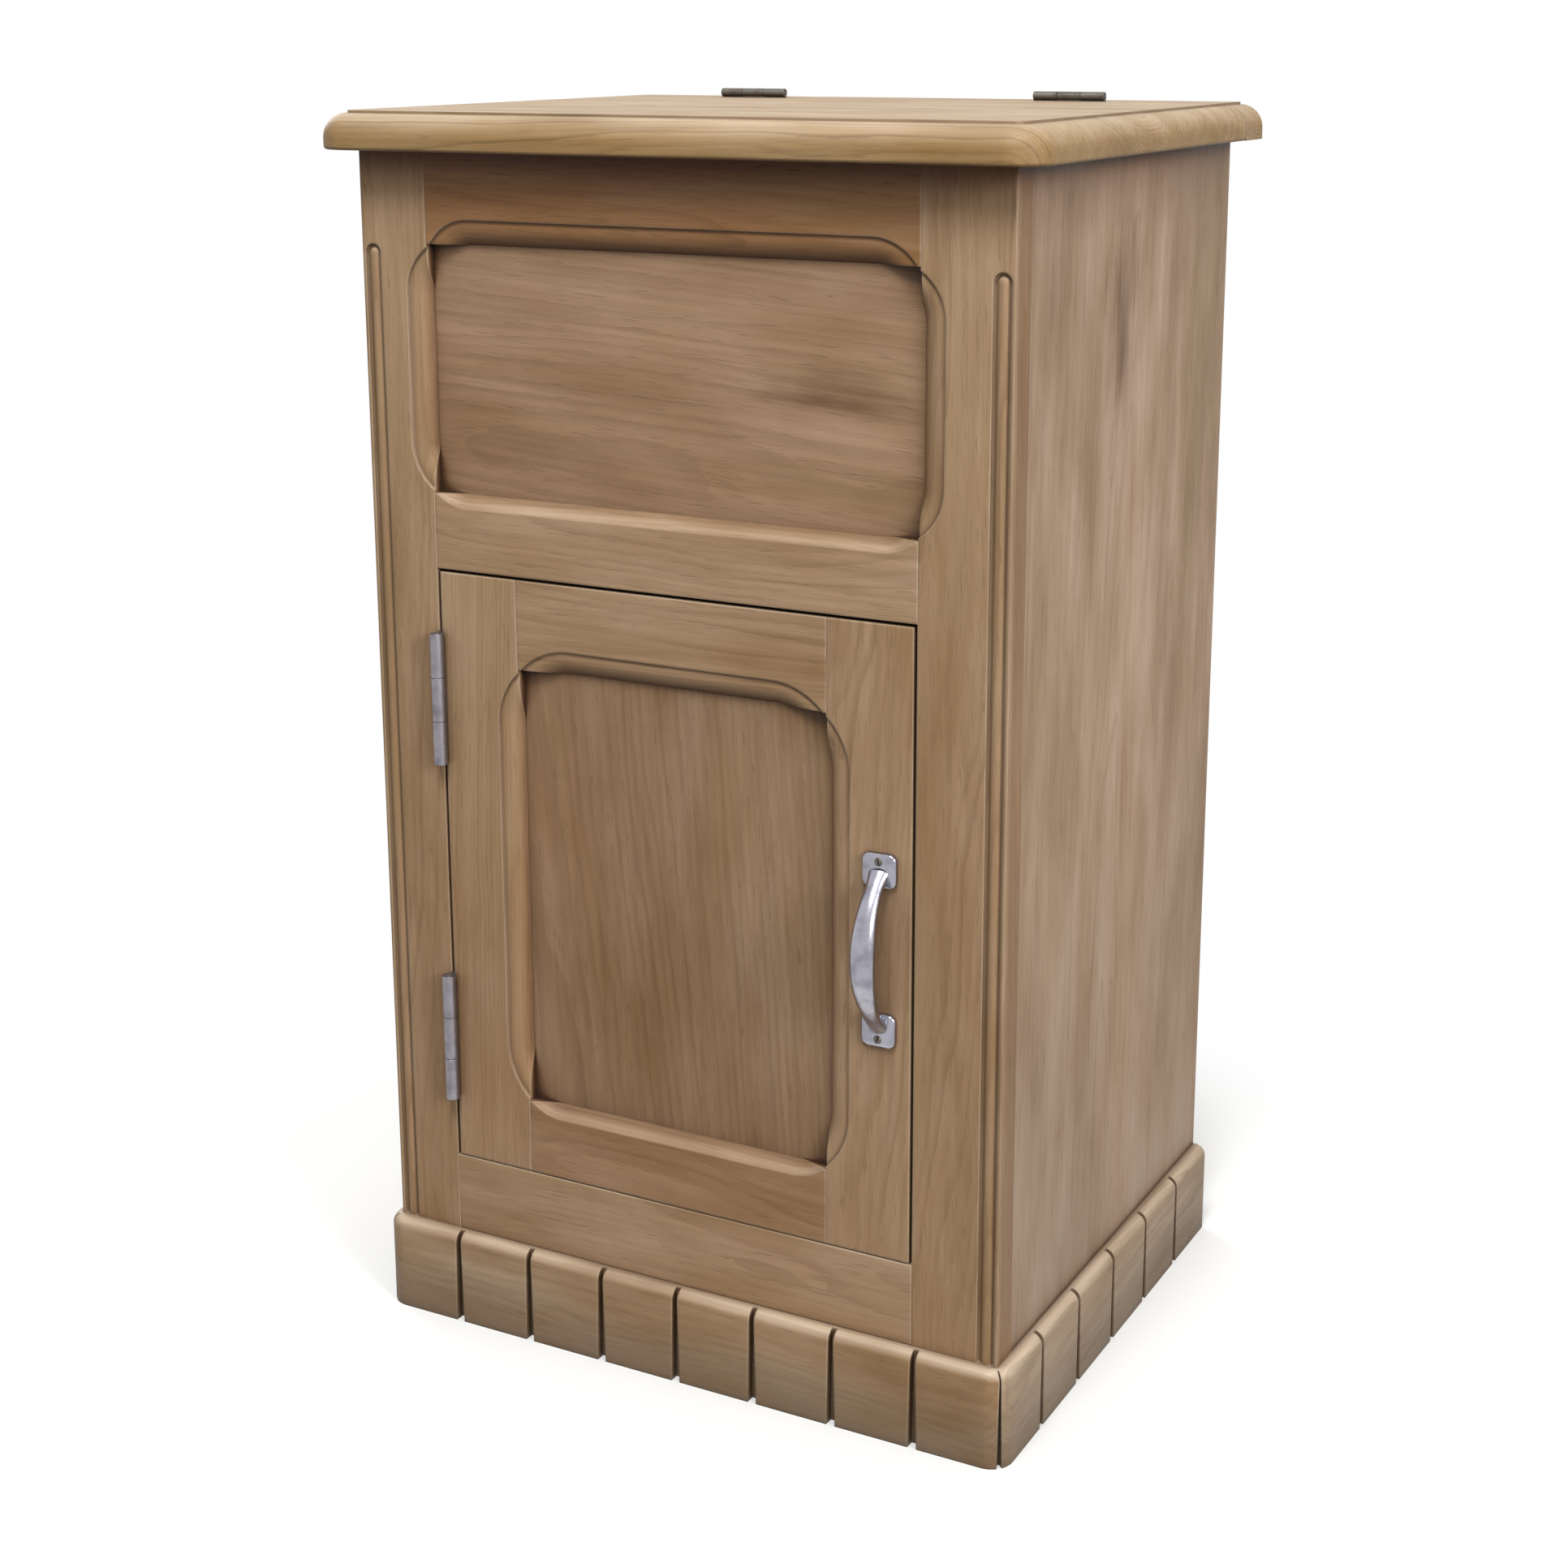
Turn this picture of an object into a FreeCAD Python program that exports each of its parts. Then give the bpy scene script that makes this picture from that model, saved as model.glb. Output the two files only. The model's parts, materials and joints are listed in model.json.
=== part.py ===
import FreeCAD, Part
import math
import os

# A bedside cabinet in oak: a bin under a lift-up lid, and a cupboard with a framed door below it.
# Millimetres. X is across the front, Y runs from front to back, Z is up from the floor.
# The origin is on the floor, midway across and midway between the handle and the back.

Vector = FreeCAD.Vector

# Overall sizes
total_height = 750.0
carcase_width = 412.0
carcase_depth = 332.0
overrun = 5.0

# Boards
frame_thickness = 20.0
side_thickness = 18.0
panel_thickness = 8.0
back_thickness = 12.0
floor_thickness = 13.0
cleat_size = 18.0

# Front frame
left_post_width = 45.0
right_post_width = 53.5
top_rail_height = 53.0
middle_rail_height = 45.0
bottom_rail_height = 50.0
door_opening_height = 375.0
tenon_length = 30.0
tenon_end_gap = 1.0
groove_depth = 8.0
panel_edge_gap = 1.0

# Stopped mouldings round the two panels
moulding_width = 14.5
moulding_depth = 7.5
moulding_quirk = 1.6
sill_width = 7.5
sill_quirk = 0.5
frame_bit_radius = 32.0
door_bit_radius = 45.0
stop_margin = 2.0

# Stopped bead down each front corner
bead_radius = 4.5
bead_sink = 2.0
bead_quirk = 0.8
bead_corner_strip = 2.0
bead_stop_drop = 54.0

# Plinth
plinth_height = 60.0
plinth_projection = 8.5
plinth_round = 7.0
plinth_back_thickness = 19.0
plinth_corner_round = 14.0
kerf_top_width = 3.2
kerf_low_width = 5.5
kerf_depth = 6.0
mitre_top_width = 0.8
mitre_low_width = 3.0
mitre_depth = 4.0
front_block_count = 8
side_block_count = 6
front_corner_block = 57.0

# Lid and the fixed strip behind it
lid_thickness = 22.0
lid_overhang = 20.0
lid_corner_radius = 20.0
lid_edge_setback = 14.5
lid_edge_quirk = 1.5
lid_lip = 7.0
lid_lip_round = 2.0
rear_strip_depth = 30.0
lid_gap = 1.0

# Inside
bin_floor_rise = 15.0
cupboard_floor_drop = 2.0
back_rebate_width = 10.0
back_board_count = 3
back_joint_gap = 0.6
back_tongue_length = 5.0
back_tongue_thickness = 4.0
door_stop_height = 28.0
door_stop_depth = 14.0
door_stop_length = 90.0
door_stop_gap = 0.3

# Door
door_gap = 2.0
door_foot_gap = 0.8
door_stile_width = 53.0
door_top_rail_height = 54.0
door_bottom_rail_height = 46.0

# Hinges: two on the lid, two on the door
lid_hinge_length = 47.0
lid_hinge_reach = 19.0
lid_leaf_thickness = 1.5
lid_barrel_radius = 2.7
lid_pin_radius = 1.3
lid_hinge_spread = 223.0
door_hinge_length = 81.0
door_hinge_reach = 20.0
door_leaf_thickness = 1.8
door_barrel_radius = 4.2
door_pin_radius = 2.1
door_hinge_top_margin = 36.5
door_hinge_low_margin = 39.0
knuckle_count = 3
knuckle_gap = 0.4
leaf_gap = 0.1
barrel_clearance = 0.4
pin_clearance = 0.05
leaf_fit = 0.2

# Bow handle
handle_length = 114.0
handle_reach = 28.0
handle_inset = 19.0
lug_width = 21.0
lug_height = 20.0
lug_thickness = 3.0
lug_corner_radius = 4.0
bow_foot_inset = 7.5
grip_radius = 5.2
grip_spread = 1.3
grip_sides = 16
grip_shares = (0.70, 0.74, 0.80, 0.88, 0.95, 1.0, 0.95, 0.88, 0.80, 0.74, 0.70)

# Bullet catch on the free edge of the door
catch_radius = 4.0
catch_length = 14.0
catch_clearance = 0.1
catch_bolt_radius = 2.6
catch_bolt_tip = 1.6
catch_bolt_proud = 0.9
catch_height_share = 0.86
strike_height = 26.0
strike_width = 12.0
strike_thickness = 1.2
strike_dimple_radius = 3.0

# Places worked out from those sizes
half_width = carcase_width / 2
inner_half = half_width - side_thickness
opening_half = (carcase_width - left_post_width - right_post_width) / 2
opening_x = (left_post_width - right_post_width) / 2
back_y = (carcase_depth + handle_reach) / 2
front_y = back_y - carcase_depth
frame_back_y = front_y + frame_thickness
back_inner_y = back_y - back_thickness
panel_front_y = front_y + moulding_depth
panel_back_y = panel_front_y + panel_thickness
carcase_top = total_height - lid_thickness
bottom_rail_top = plinth_height + bottom_rail_height
middle_rail_bottom = bottom_rail_top + door_opening_height
middle_rail_top = middle_rail_bottom + middle_rail_height
top_rail_bottom = carcase_top - top_rail_height
door_left = door_gap - opening_half
door_right = opening_half - door_gap
door_bottom = bottom_rail_top + door_foot_gap
door_top = middle_rail_bottom - door_gap
door_middle = (door_bottom + door_top) / 2
bin_floor_bottom = middle_rail_bottom + bin_floor_rise
cupboard_floor_top = bottom_rail_top - cupboard_floor_drop
strip_front_y = back_y - rear_strip_depth
lid_rear_y = strip_front_y - lid_gap
lid_hinge_y = strip_front_y - lid_gap / 2
lid_hinge_z = total_height + lid_barrel_radius + barrel_clearance
door_hinge_x = door_gap / 2 - opening_half
door_hinge_y = front_y - door_barrel_radius - barrel_clearance
depth_axis = Vector(0, 1, 0)
to_opening = Vector(opening_x, 0, 0)


def box(x0, x1, y0, y1, z0, z1):
    """A block between two corners, given in any order."""
    low = Vector(min(x0, x1), min(y0, y1), min(z0, z1))
    return Part.makeBox(abs(x1 - x0), abs(y1 - y0), abs(z1 - z0), low)


def prism(points, way):
    """A closed outline of straight sides, drawn out along a vector."""
    return Part.Face(Part.makePolygon(points + points[:1])).extrude(way)


def outline_face(edges):
    """A flat face inside lines and arcs given in order."""
    return Part.Face(Part.Wire([edge.toShape() for edge in edges]))


def line(a, b):
    return Part.LineSegment(a, b)


def moulding_face(edge_point, into, bit_radius, width, quirk, rounded):
    """The section that a moulding cutter takes off an edge, with a quirk and a round or a plain slope."""
    centre = edge_point - into * (bit_radius - width)

    def at(radius, depth):
        return centre + into * radius + depth_axis * depth

    inside = bit_radius - width
    drop = moulding_depth - quirk
    shoulder = at(bit_radius, quirk)
    sight = at(inside, moulding_depth)
    middle = at(bit_radius - width * math.sin(math.pi / 4), quirk + drop * (1 - math.cos(math.pi / 4)))
    slope = Part.Arc(shoulder, middle, sight) if rounded else line(shoulder, sight)
    clear = inside - min(overrun, inside / 2)
    top_outer = at(bit_radius, -overrun)
    top_inner = at(clear, -overrun)
    low_inner = at(clear, moulding_depth)
    face = outline_face([
        line(top_outer, shoulder),
        slope,
        line(sight, low_inner),
        line(low_inner, top_inner),
        line(top_inner, top_outer),
    ])
    return face, centre


def stopped_moulding(start, end, into, bit_radius, width, quirk, rounded=True):
    """The cutter for one moulded edge: a straight run that curves out of the wood before each corner."""
    along = (end - start).normalize()
    run_out = math.sqrt(bit_radius ** 2 - (bit_radius - width) ** 2) + stop_margin
    first = start + along * run_out
    last = end - along * run_out
    face, centre = moulding_face(first, into, bit_radius, width, quirk, rounded)
    run = last - first
    turn = 90 if depth_axis.cross(into).dot(along) < 0 else -90
    first_end = face.revolve(centre, depth_axis, turn)
    last_end = face.translated(run).revolve(centre + run, depth_axis, -turn)
    return face.extrude(run).fuse([first_end, last_end])


def tenon_span(z0, z1):
    """The height of a rail's tenon, between its shoulders."""
    return z0 + groove_depth, z1 - groove_depth


def tenon(side, edge_x, z0, z1, extra=0.0):
    """A rail's tenon beyond its shoulder at edge_x, or with extra length the mortise for it."""
    low, high = tenon_span(z0, z1)
    return box(edge_x, edge_x + side * (tenon_length + extra), panel_front_y, panel_back_y, low, high)


def tenoned_rail(half, z0, z1):
    """A rail between two uprights, with a tenon at each end."""
    rail = box(-half, half, front_y, frame_back_y, z0, z1)
    return rail.fuse([tenon(side, side * half, z0, z1) for side in (-1, 1)]).removeSplitter()


def panel_in_grooves(half, z0, z1):
    """A flat panel that stands in the grooves of its frame, with room to move."""
    lap = groove_depth - panel_edge_gap
    return box(-half - lap, half + lap, panel_front_y, panel_back_y, z0 - lap, z1 + lap)


def rail_groove(half, edge_z, up):
    """The panel groove along a rail's edge."""
    return box(-half, half, panel_front_y, panel_back_y, edge_z, edge_z + up * groove_depth)


def upright_groove(side, edge_x, z0, z1):
    """The panel groove along an upright's edge, long enough for the panel's corners."""
    return box(
        edge_x, edge_x + side * groove_depth, panel_front_y, panel_back_y,
        z0 - groove_depth, z1 + groove_depth,
    )


def edge_moulding(half, edge_z, up, bit_radius):
    """The moulding under a rail's edge, or the plain sloping sill on top of one."""
    start = Vector(-half, front_y, edge_z)
    end = Vector(half, front_y, edge_z)
    into = Vector(0, 0, up)
    if up > 0:
        return stopped_moulding(start, end, into, bit_radius, moulding_width, moulding_quirk)
    return stopped_moulding(start, end, into, bit_radius, sill_width, sill_quirk, rounded=False)


def upright_moulding(side, edge_x, z0, z1, bit_radius):
    start = Vector(edge_x, front_y, z0)
    end = Vector(edge_x, front_y, z1)
    return stopped_moulding(start, end, Vector(side, 0, 0), bit_radius, moulding_width, moulding_quirk)


class Hinge:
    """A butt hinge in its own frame: X out along the leaves, Y across them, Z along the pin."""

    def __init__(self, length, reach, thickness, barrel_radius, pin_radius):
        self.length = length
        self.reach = reach
        self.thickness = thickness
        self.barrel_radius = barrel_radius
        self.pin_radius = pin_radius

    def rod(self, radius, z0, z1):
        return Part.makeCylinder(radius, z1 - z0, Vector(0, 0, z0))

    def knuckle_spans(self, first):
        """The stretches of barrel that belong to one leaf: every other knuckle."""
        step = self.length / knuckle_count
        low = -self.length / 2
        return [(low + i * step, low + (i + 1) * step) for i in range(first, knuckle_count, 2)]

    def leaf(self, side):
        """One leaf with its knuckles, for the fixed side 1 or the moving side -1."""
        own = self.knuckle_spans(0 if side > 0 else 1)
        other = self.knuckle_spans(1 if side > 0 else 0)
        near = side * leaf_gap / 2
        far = near + side * self.thickness
        plate = box(0, self.reach, near, far, -self.length / 2, self.length / 2)
        clear = self.barrel_radius + knuckle_gap
        room = [self.rod(clear, z0 - knuckle_gap / 2, z1 + knuckle_gap / 2) for z0, z1 in other]
        barrels = [
            self.rod(self.barrel_radius, z0 + knuckle_gap / 2, z1 - knuckle_gap / 2) for z0, z1 in own
        ]
        bore = self.rod(self.pin_radius + pin_clearance, -self.length, self.length)
        body = plate.cut(room).fuse(barrels).cut(bore)
        return body.removeSplitter()

    def pin(self):
        return self.rod(self.pin_radius, -self.length / 2, self.length / 2)

    def pocket(self, side):
        """What is cut from the wood for one leaf."""
        return box(
            -self.reach, self.reach + leaf_fit, 0, side * (leaf_gap / 2 + self.thickness),
            -self.length / 2 - leaf_fit, self.length / 2 + leaf_fit,
        )


lid_hinge = Hinge(
    lid_hinge_length, lid_hinge_reach, lid_leaf_thickness, lid_barrel_radius, lid_pin_radius
)
door_hinge = Hinge(
    door_hinge_length, door_hinge_reach, door_leaf_thickness, door_barrel_radius, door_pin_radius
)


def lid_hinge_places():
    """The two lid hinges: pin along X, leaves hanging down, fixed leaf to the back."""
    turn = FreeCAD.Rotation(Vector(0, 0, -1), Vector(0, 1, 0), Vector(1, 0, 0), "ZXY")
    spots = [Vector(side * lid_hinge_spread / 2, lid_hinge_y, lid_hinge_z) for side in (-1, 1)]
    return [FreeCAD.Placement(spot, turn) for spot in spots]


def door_hinge_places():
    """The two door hinges: pin upright, leaves running back, fixed leaf on the left post."""
    turn = FreeCAD.Rotation(Vector(0, 1, 0), Vector(-1, 0, 0), Vector(0, 0, 1), "ZXY")
    half = door_hinge_length / 2
    heights = (door_top - door_hinge_top_margin - half, door_bottom + door_hinge_low_margin + half)
    return [FreeCAD.Placement(Vector(door_hinge_x, door_hinge_y, z), turn) for z in heights]


def placed(shape, place):
    moved = shape.copy()
    moved.Placement = place
    return moved


def pockets(hinge, places, side):
    """Every pocket that one side of a pair of hinges needs in the wood."""
    return [placed(hinge.pocket(side), place) for place in places]


def corner_bead(side):
    """The cutter for the sunk bead beside a front corner: two quirks that meet round its domed end."""
    slot_half = bead_radius + bead_quirk
    x = side * (half_width - bead_corner_strip - slot_half) - opening_x
    top = carcase_top - bead_stop_drop - slot_half
    slot = box(x - slot_half, x + slot_half, front_y - overrun, front_y + bead_sink, plinth_height, top)
    arch = Part.makeCylinder(slot_half, overrun + bead_sink, Vector(x, front_y - overrun, top), depth_axis)
    axis_y = front_y + bead_radius
    bead = Part.makeCylinder(bead_radius, top, Vector(x, axis_y, 0))
    dome = Part.makeSphere(bead_radius, Vector(x, axis_y, top))
    return slot.fuse(arch).cut([bead, dome])


def strike_cut(extra):
    """The strike plate's seat in the right post, as a block that stops extra short of the door."""
    z = catch_height()
    return box(
        opening_half - extra, opening_half + strike_thickness,
        catch_y() - strike_width / 2, catch_y() + strike_width / 2,
        z - strike_height / 2, z + strike_height / 2,
    )


def catch_height():
    return door_bottom + (door_top - door_bottom) * catch_height_share


def catch_y():
    return (front_y + frame_back_y) / 2


def front_post(side):
    """A front post: beaded corner, moulded and grooved for the upper panel, mortised for three rails."""
    inner = side * opening_half
    post = box(inner, side * half_width - opening_x, front_y, frame_back_y, 0, carcase_top)
    rails = [
        (top_rail_bottom, carcase_top),
        (middle_rail_bottom, middle_rail_top),
        (plinth_height, bottom_rail_top),
    ]
    cuts = [tenon(side, inner, z0, z1, tenon_end_gap) for z0, z1 in rails]
    cuts.append(upright_groove(side, inner, middle_rail_top, top_rail_bottom))
    cuts.append(upright_moulding(side, inner, middle_rail_top, top_rail_bottom, frame_bit_radius))
    cuts.append(corner_bead(side))
    if side < 0:
        cuts += pockets(door_hinge, door_hinge_places(), 1)
    else:
        cuts.append(strike_cut(overrun))
    return post.cut(cuts)


def top_rail():
    rail = tenoned_rail(opening_half, top_rail_bottom, carcase_top)
    return rail.cut([
        rail_groove(opening_half, top_rail_bottom, 1),
        edge_moulding(opening_half, top_rail_bottom, 1, frame_bit_radius),
    ])


def middle_rail():
    rail = tenoned_rail(opening_half, middle_rail_bottom, middle_rail_top)
    return rail.cut([
        rail_groove(opening_half, middle_rail_top, -1),
        edge_moulding(opening_half, middle_rail_top, -1, frame_bit_radius),
    ])


def bottom_rail():
    return tenoned_rail(opening_half, plinth_height, bottom_rail_top)


def upper_panel():
    return panel_in_grooves(opening_half, middle_rail_top, top_rail_bottom)


def side_board(side):
    """A solid side behind the front post, rebated at the back for the back boards."""
    board = box(side * inner_half, side * half_width, frame_back_y, back_y, 0, carcase_top)
    rebate = box(
        side * inner_half, side * (inner_half + back_rebate_width), back_inner_y, back_y + overrun,
        plinth_height, carcase_top + overrun,
    )
    return board.cut(rebate)


def back_board(index):
    """One upright board of the tongued and grooved back."""
    half = inner_half + back_rebate_width - back_joint_gap
    step = 2 * half / back_board_count
    left = -half + index * step
    right = left + step - back_joint_gap
    middle_y = back_inner_y + back_thickness / 2
    tongue_y0 = middle_y - back_tongue_thickness / 2
    tongue_y1 = middle_y + back_tongue_thickness / 2
    board = box(left, right, back_inner_y, back_y, plinth_height, carcase_top)
    if index < back_board_count - 1:
        board = board.fuse(
            box(right, right + back_tongue_length, tongue_y0, tongue_y1, plinth_height, carcase_top)
        ).removeSplitter()
    if index > 0:
        board = board.cut(
            box(left, left + back_tongue_length, tongue_y0, tongue_y1, plinth_height, carcase_top)
        )
    return board


def floor_board(bottom):
    """A floor that fills the carcase from the front frame to the back boards."""
    return box(-inner_half, inner_half, frame_back_y, back_inner_y, bottom, bottom + floor_thickness)


def floor_cleat(side, top):
    """A bearer on a side board that carries one end of a floor."""
    inner = side * (inner_half - cleat_size)
    return box(inner, side * inner_half, frame_back_y, back_inner_y, top - cleat_size, top)


def door_stop():
    """A block under the bin floor that the free side of the door closes against."""
    right = inner_half - cleat_size
    front = frame_back_y + door_stop_gap
    return box(
        right - door_stop_length, right, front, front + door_stop_depth,
        bin_floor_bottom - door_stop_height, bin_floor_bottom,
    )


def plinth_plan(points):
    """A plan outline, for trimming a plinth board to its mitres."""
    return prism([Vector(x, y, 0) for x, y in points], Vector(0, 0, plinth_height))


def plinth_foot():
    """The plinth before it is sawn into boards: round front corners, and a rim rounded over all along."""
    wide = half_width + plinth_projection
    foot = box(-wide, wide, front_y - plinth_projection, back_y, 0, plinth_height)
    corners = [
        edge for edge in foot.Edges
        if edge.BoundBox.ZLength > plinth_round and edge.CenterOfMass.y < front_y
    ]
    foot = foot.makeFillet(plinth_corner_round, corners)
    rim = [
        edge for edge in foot.Edges
        if edge.BoundBox.ZMin > plinth_height - plinth_round and edge.BoundBox.YMin < back_y - plinth_round
    ]
    return foot.makeFillet(plinth_round, rim)


def kerf(spot, outward, top_width, low_width, depth):
    """An upright saw cut in a plinth's face that widens towards the floor."""
    along = outward.cross(Vector(0, 0, 1))
    back = spot - outward * depth
    top = Vector(0, 0, plinth_height)
    points = [
        back - along * low_width / 2,
        back + along * low_width / 2,
        back + along * top_width / 2 + top,
        back - along * top_width / 2 + top,
    ]
    return prism(points, outward * (depth + overrun))


def mitre_cuts():
    """The open mitre at each front corner, cut like a kerf along the diagonal."""
    cuts = []
    rounded_off = plinth_corner_round * (math.sqrt(2) - 1)
    for side in (-1, 1):
        diagonal = Vector(side, -1, 0).normalize()
        corner = Vector(side * (half_width + plinth_projection), front_y - plinth_projection, 0)
        spot = corner - diagonal * rounded_off
        cuts.append(kerf(spot, diagonal, mitre_top_width, mitre_low_width, mitre_depth))
    return cuts


def plinth_front():
    """The front plinth board, mitred at both ends and sawn with upright kerfs."""
    wide = half_width + plinth_projection
    outward = Vector(0, -1, 0)
    outer_y = front_y - plinth_projection
    plan = plinth_plan([(-wide, outer_y), (wide, outer_y), (half_width, front_y), (-half_width, front_y)])
    first = front_corner_block - wide
    step = -2 * first / (front_block_count - 2)
    spots = [Vector(first + i * step, outer_y, 0) for i in range(front_block_count - 1)]
    kerfs = [kerf(spot, outward, kerf_top_width, kerf_low_width, kerf_depth) for spot in spots]
    return plinth_foot().common(plan).cut(kerfs + mitre_cuts())


def plinth_side(side):
    """A side plinth board, mitred to the front one, with the same kerfs."""
    front = front_y - plinth_projection
    inner = side * half_width
    outer = side * (half_width + plinth_projection)
    outward = Vector(side, 0, 0)
    plan = plinth_plan([(inner, front_y), (outer, front), (outer, back_y), (inner, back_y)])
    step = (back_y - front) / side_block_count
    spots = [Vector(outer, front + i * step, 0) for i in range(1, side_block_count)]
    kerfs = [kerf(spot, outward, kerf_top_width, kerf_low_width, kerf_depth) for spot in spots]
    return plinth_foot().common(plan).cut(kerfs + mitre_cuts())


def plinth_back():
    """A plain board across the back, between the sides, up to the back boards."""
    return box(-inner_half, inner_half, back_y - plinth_back_thickness, back_y, 0, plinth_height)


def lid_edge_face(edge_point, outward):
    """What the moulding takes off the lid's edge: a quirk, then a round down to a square lip."""
    up = Vector(0, 0, 1)
    drop = lid_thickness - lid_edge_quirk - lid_lip

    def at(out, down):
        return edge_point + outward * out - up * down

    shoulder = at(-lid_edge_setback, lid_edge_quirk)
    lip = at(0, lid_edge_quirk + drop)
    round_middle = at(
        lid_edge_setback * (math.sin(math.pi / 4) - 1), lid_edge_quirk + drop * (1 - math.cos(math.pi / 4))
    )
    above = at(-lid_edge_setback, -overrun)
    outside_low = at(overrun, lid_edge_quirk + drop)
    outside_high = at(overrun, -overrun)
    return outline_face([
        line(above, shoulder),
        Part.Arc(shoulder, round_middle, lip),
        line(lip, outside_low),
        line(outside_low, outside_high),
        line(outside_high, above),
    ])


def lid():
    """The lid: moulded front and ends, round front corners, let in at the back for its hinges."""
    half = half_width + lid_overhang
    front = front_y - lid_overhang
    blank = box(-half, half, front, lid_rear_y, carcase_top, total_height)
    upright = [
        edge for edge in blank.Edges
        if abs(edge.CenterOfMass.y - front) < lid_gap and abs(edge.CenterOfMass.z - total_height) > lid_gap
        and abs(edge.CenterOfMass.z - carcase_top) > lid_gap
    ]
    blank = blank.makeFillet(lid_corner_radius, upright)
    lower = [
        edge for edge in blank.Edges
        if abs(edge.BoundBox.ZMax - carcase_top) < lid_gap and edge.BoundBox.YMin < lid_rear_y - lid_gap
    ]
    blank = blank.makeFillet(lid_lip_round, lower)
    cuts = []
    bend_y = front + lid_corner_radius
    for side in (-1, 1):
        end_face = lid_edge_face(Vector(side * half, bend_y, total_height), Vector(side, 0, 0))
        bend = Vector(side * (half - lid_corner_radius), bend_y, total_height)
        cuts.append(end_face.extrude(Vector(0, lid_rear_y - bend_y + overrun, 0)))
        cuts.append(end_face.revolve(bend, Vector(0, 0, 1), -90 * side))
    straight_half = half - lid_corner_radius
    front_face = lid_edge_face(Vector(-straight_half, front, total_height), Vector(0, -1, 0))
    cuts.append(front_face.extrude(Vector(2 * straight_half, 0, 0)))
    edge_cut = cuts[0].fuse(cuts[1:])
    return blank.cut([edge_cut] + pockets(lid_hinge, lid_hinge_places(), -1))


def rear_top_strip():
    """The fixed strip along the back of the top, with the lid's moulding on its ends."""
    half = half_width + lid_overhang
    strip = box(-half, half, strip_front_y, back_y, carcase_top, total_height)
    run = Vector(0, rear_strip_depth + 2 * overrun, 0)
    start_y = strip_front_y - overrun
    cuts = [
        lid_edge_face(Vector(side * half, start_y, total_height), Vector(side, 0, 0)).extrude(run)
        for side in (-1, 1)
    ]
    return strip.cut(cuts + pockets(lid_hinge, lid_hinge_places(), 1))


door_half = (door_right - door_left) / 2
door_sight_half = door_half - door_stile_width
door_panel_top = door_top - door_top_rail_height
door_panel_bottom = door_bottom + door_bottom_rail_height


def door_stile(side):
    """A door stile: moulded and grooved for the panel, mortised for both rails."""
    inner = side * door_sight_half
    stile = box(inner, side * door_half, front_y, frame_back_y, door_bottom, door_top)
    rails = [(door_panel_top, door_top), (door_bottom, door_panel_bottom)]
    cuts = [tenon(side, inner, z0, z1, tenon_end_gap) for z0, z1 in rails]
    cuts.append(upright_groove(side, inner, door_panel_bottom, door_panel_top))
    cuts.append(upright_moulding(side, inner, door_panel_bottom, door_panel_top, door_bit_radius))
    if side < 0:
        cuts += pockets(door_hinge, door_hinge_places(), -1)
    else:
        cuts.append(catch_barrel(catch_clearance))
    return stile.cut(cuts)


def door_rail_top():
    rail = tenoned_rail(door_sight_half, door_panel_top, door_top)
    return rail.cut([
        rail_groove(door_sight_half, door_panel_top, 1),
        edge_moulding(door_sight_half, door_panel_top, 1, door_bit_radius),
    ])


def door_rail_bottom():
    rail = tenoned_rail(door_sight_half, door_bottom, door_panel_bottom)
    return rail.cut([
        rail_groove(door_sight_half, door_panel_bottom, -1),
        edge_moulding(door_sight_half, door_panel_bottom, -1, frame_bit_radius),
    ])


def door_panel():
    return panel_in_grooves(door_sight_half, door_panel_bottom, door_panel_top)


def handle_x():
    return door_right - handle_inset


def handle_lug(side):
    """A flat plate with rounded corners at one end of the handle."""
    outer = door_middle + side * handle_length / 2
    plate = box(
        handle_x() - lug_width / 2, handle_x() + lug_width / 2, front_y - lug_thickness, front_y,
        outer, outer - side * lug_height,
    )
    corners = [edge for edge in plate.Edges if abs(edge.tangentAt(edge.FirstParameter).y) > 0.5]
    return plate.makeFillet(lug_corner_radius, corners)


def grip_ring(spot, way, radius):
    """One many-sided section of the grip, square to its path."""
    across = Vector(1, 0, 0)
    outward = way.cross(across)
    angles = [2 * math.pi * i / grip_sides for i in range(grip_sides)]
    points = [
        spot + (across * (math.cos(a) * grip_spread) + outward * math.sin(a)) * radius for a in angles
    ]
    return Part.makePolygon(points + points[:1])


def door_handle():
    """The bow handle: a grip that swells along an arc, between two lugs."""
    foot_z = handle_length / 2 - lug_height + bow_foot_inset
    foot_out = lug_thickness / 2
    rise = handle_reach - grip_radius - foot_out
    arc_radius = (foot_z ** 2 + rise ** 2) / (2 * rise)
    centre_y = front_y - foot_out - rise + arc_radius
    half_angle = math.asin(foot_z / arc_radius)
    sections = []
    last = len(grip_shares) - 1
    for i, share in enumerate(grip_shares):
        angle = half_angle * (2 * i / last - 1)
        spot = Vector(
            handle_x(), centre_y - arc_radius * math.cos(angle), door_middle + arc_radius * math.sin(angle)
        )
        way = Vector(0, math.sin(angle), math.cos(angle))
        sections.append(grip_ring(spot, way, grip_radius * share))
    grip = Part.makeLoft(sections, True, True)
    behind = box(
        handle_x() - handle_length, handle_x() + handle_length, front_y, frame_back_y,
        door_bottom, door_top,
    )
    lugs = [handle_lug(side) for side in (-1, 1)]
    return grip.cut(behind).fuse(lugs)


def catch_barrel(extra=0.0):
    """The catch's barrel, let into the free edge of the door, or with extra all round the hole for it."""
    start = Vector(door_right, catch_y(), catch_height())
    return Part.makeCylinder(catch_radius + extra, catch_length + extra, start, Vector(-1, 0, 0))


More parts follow.
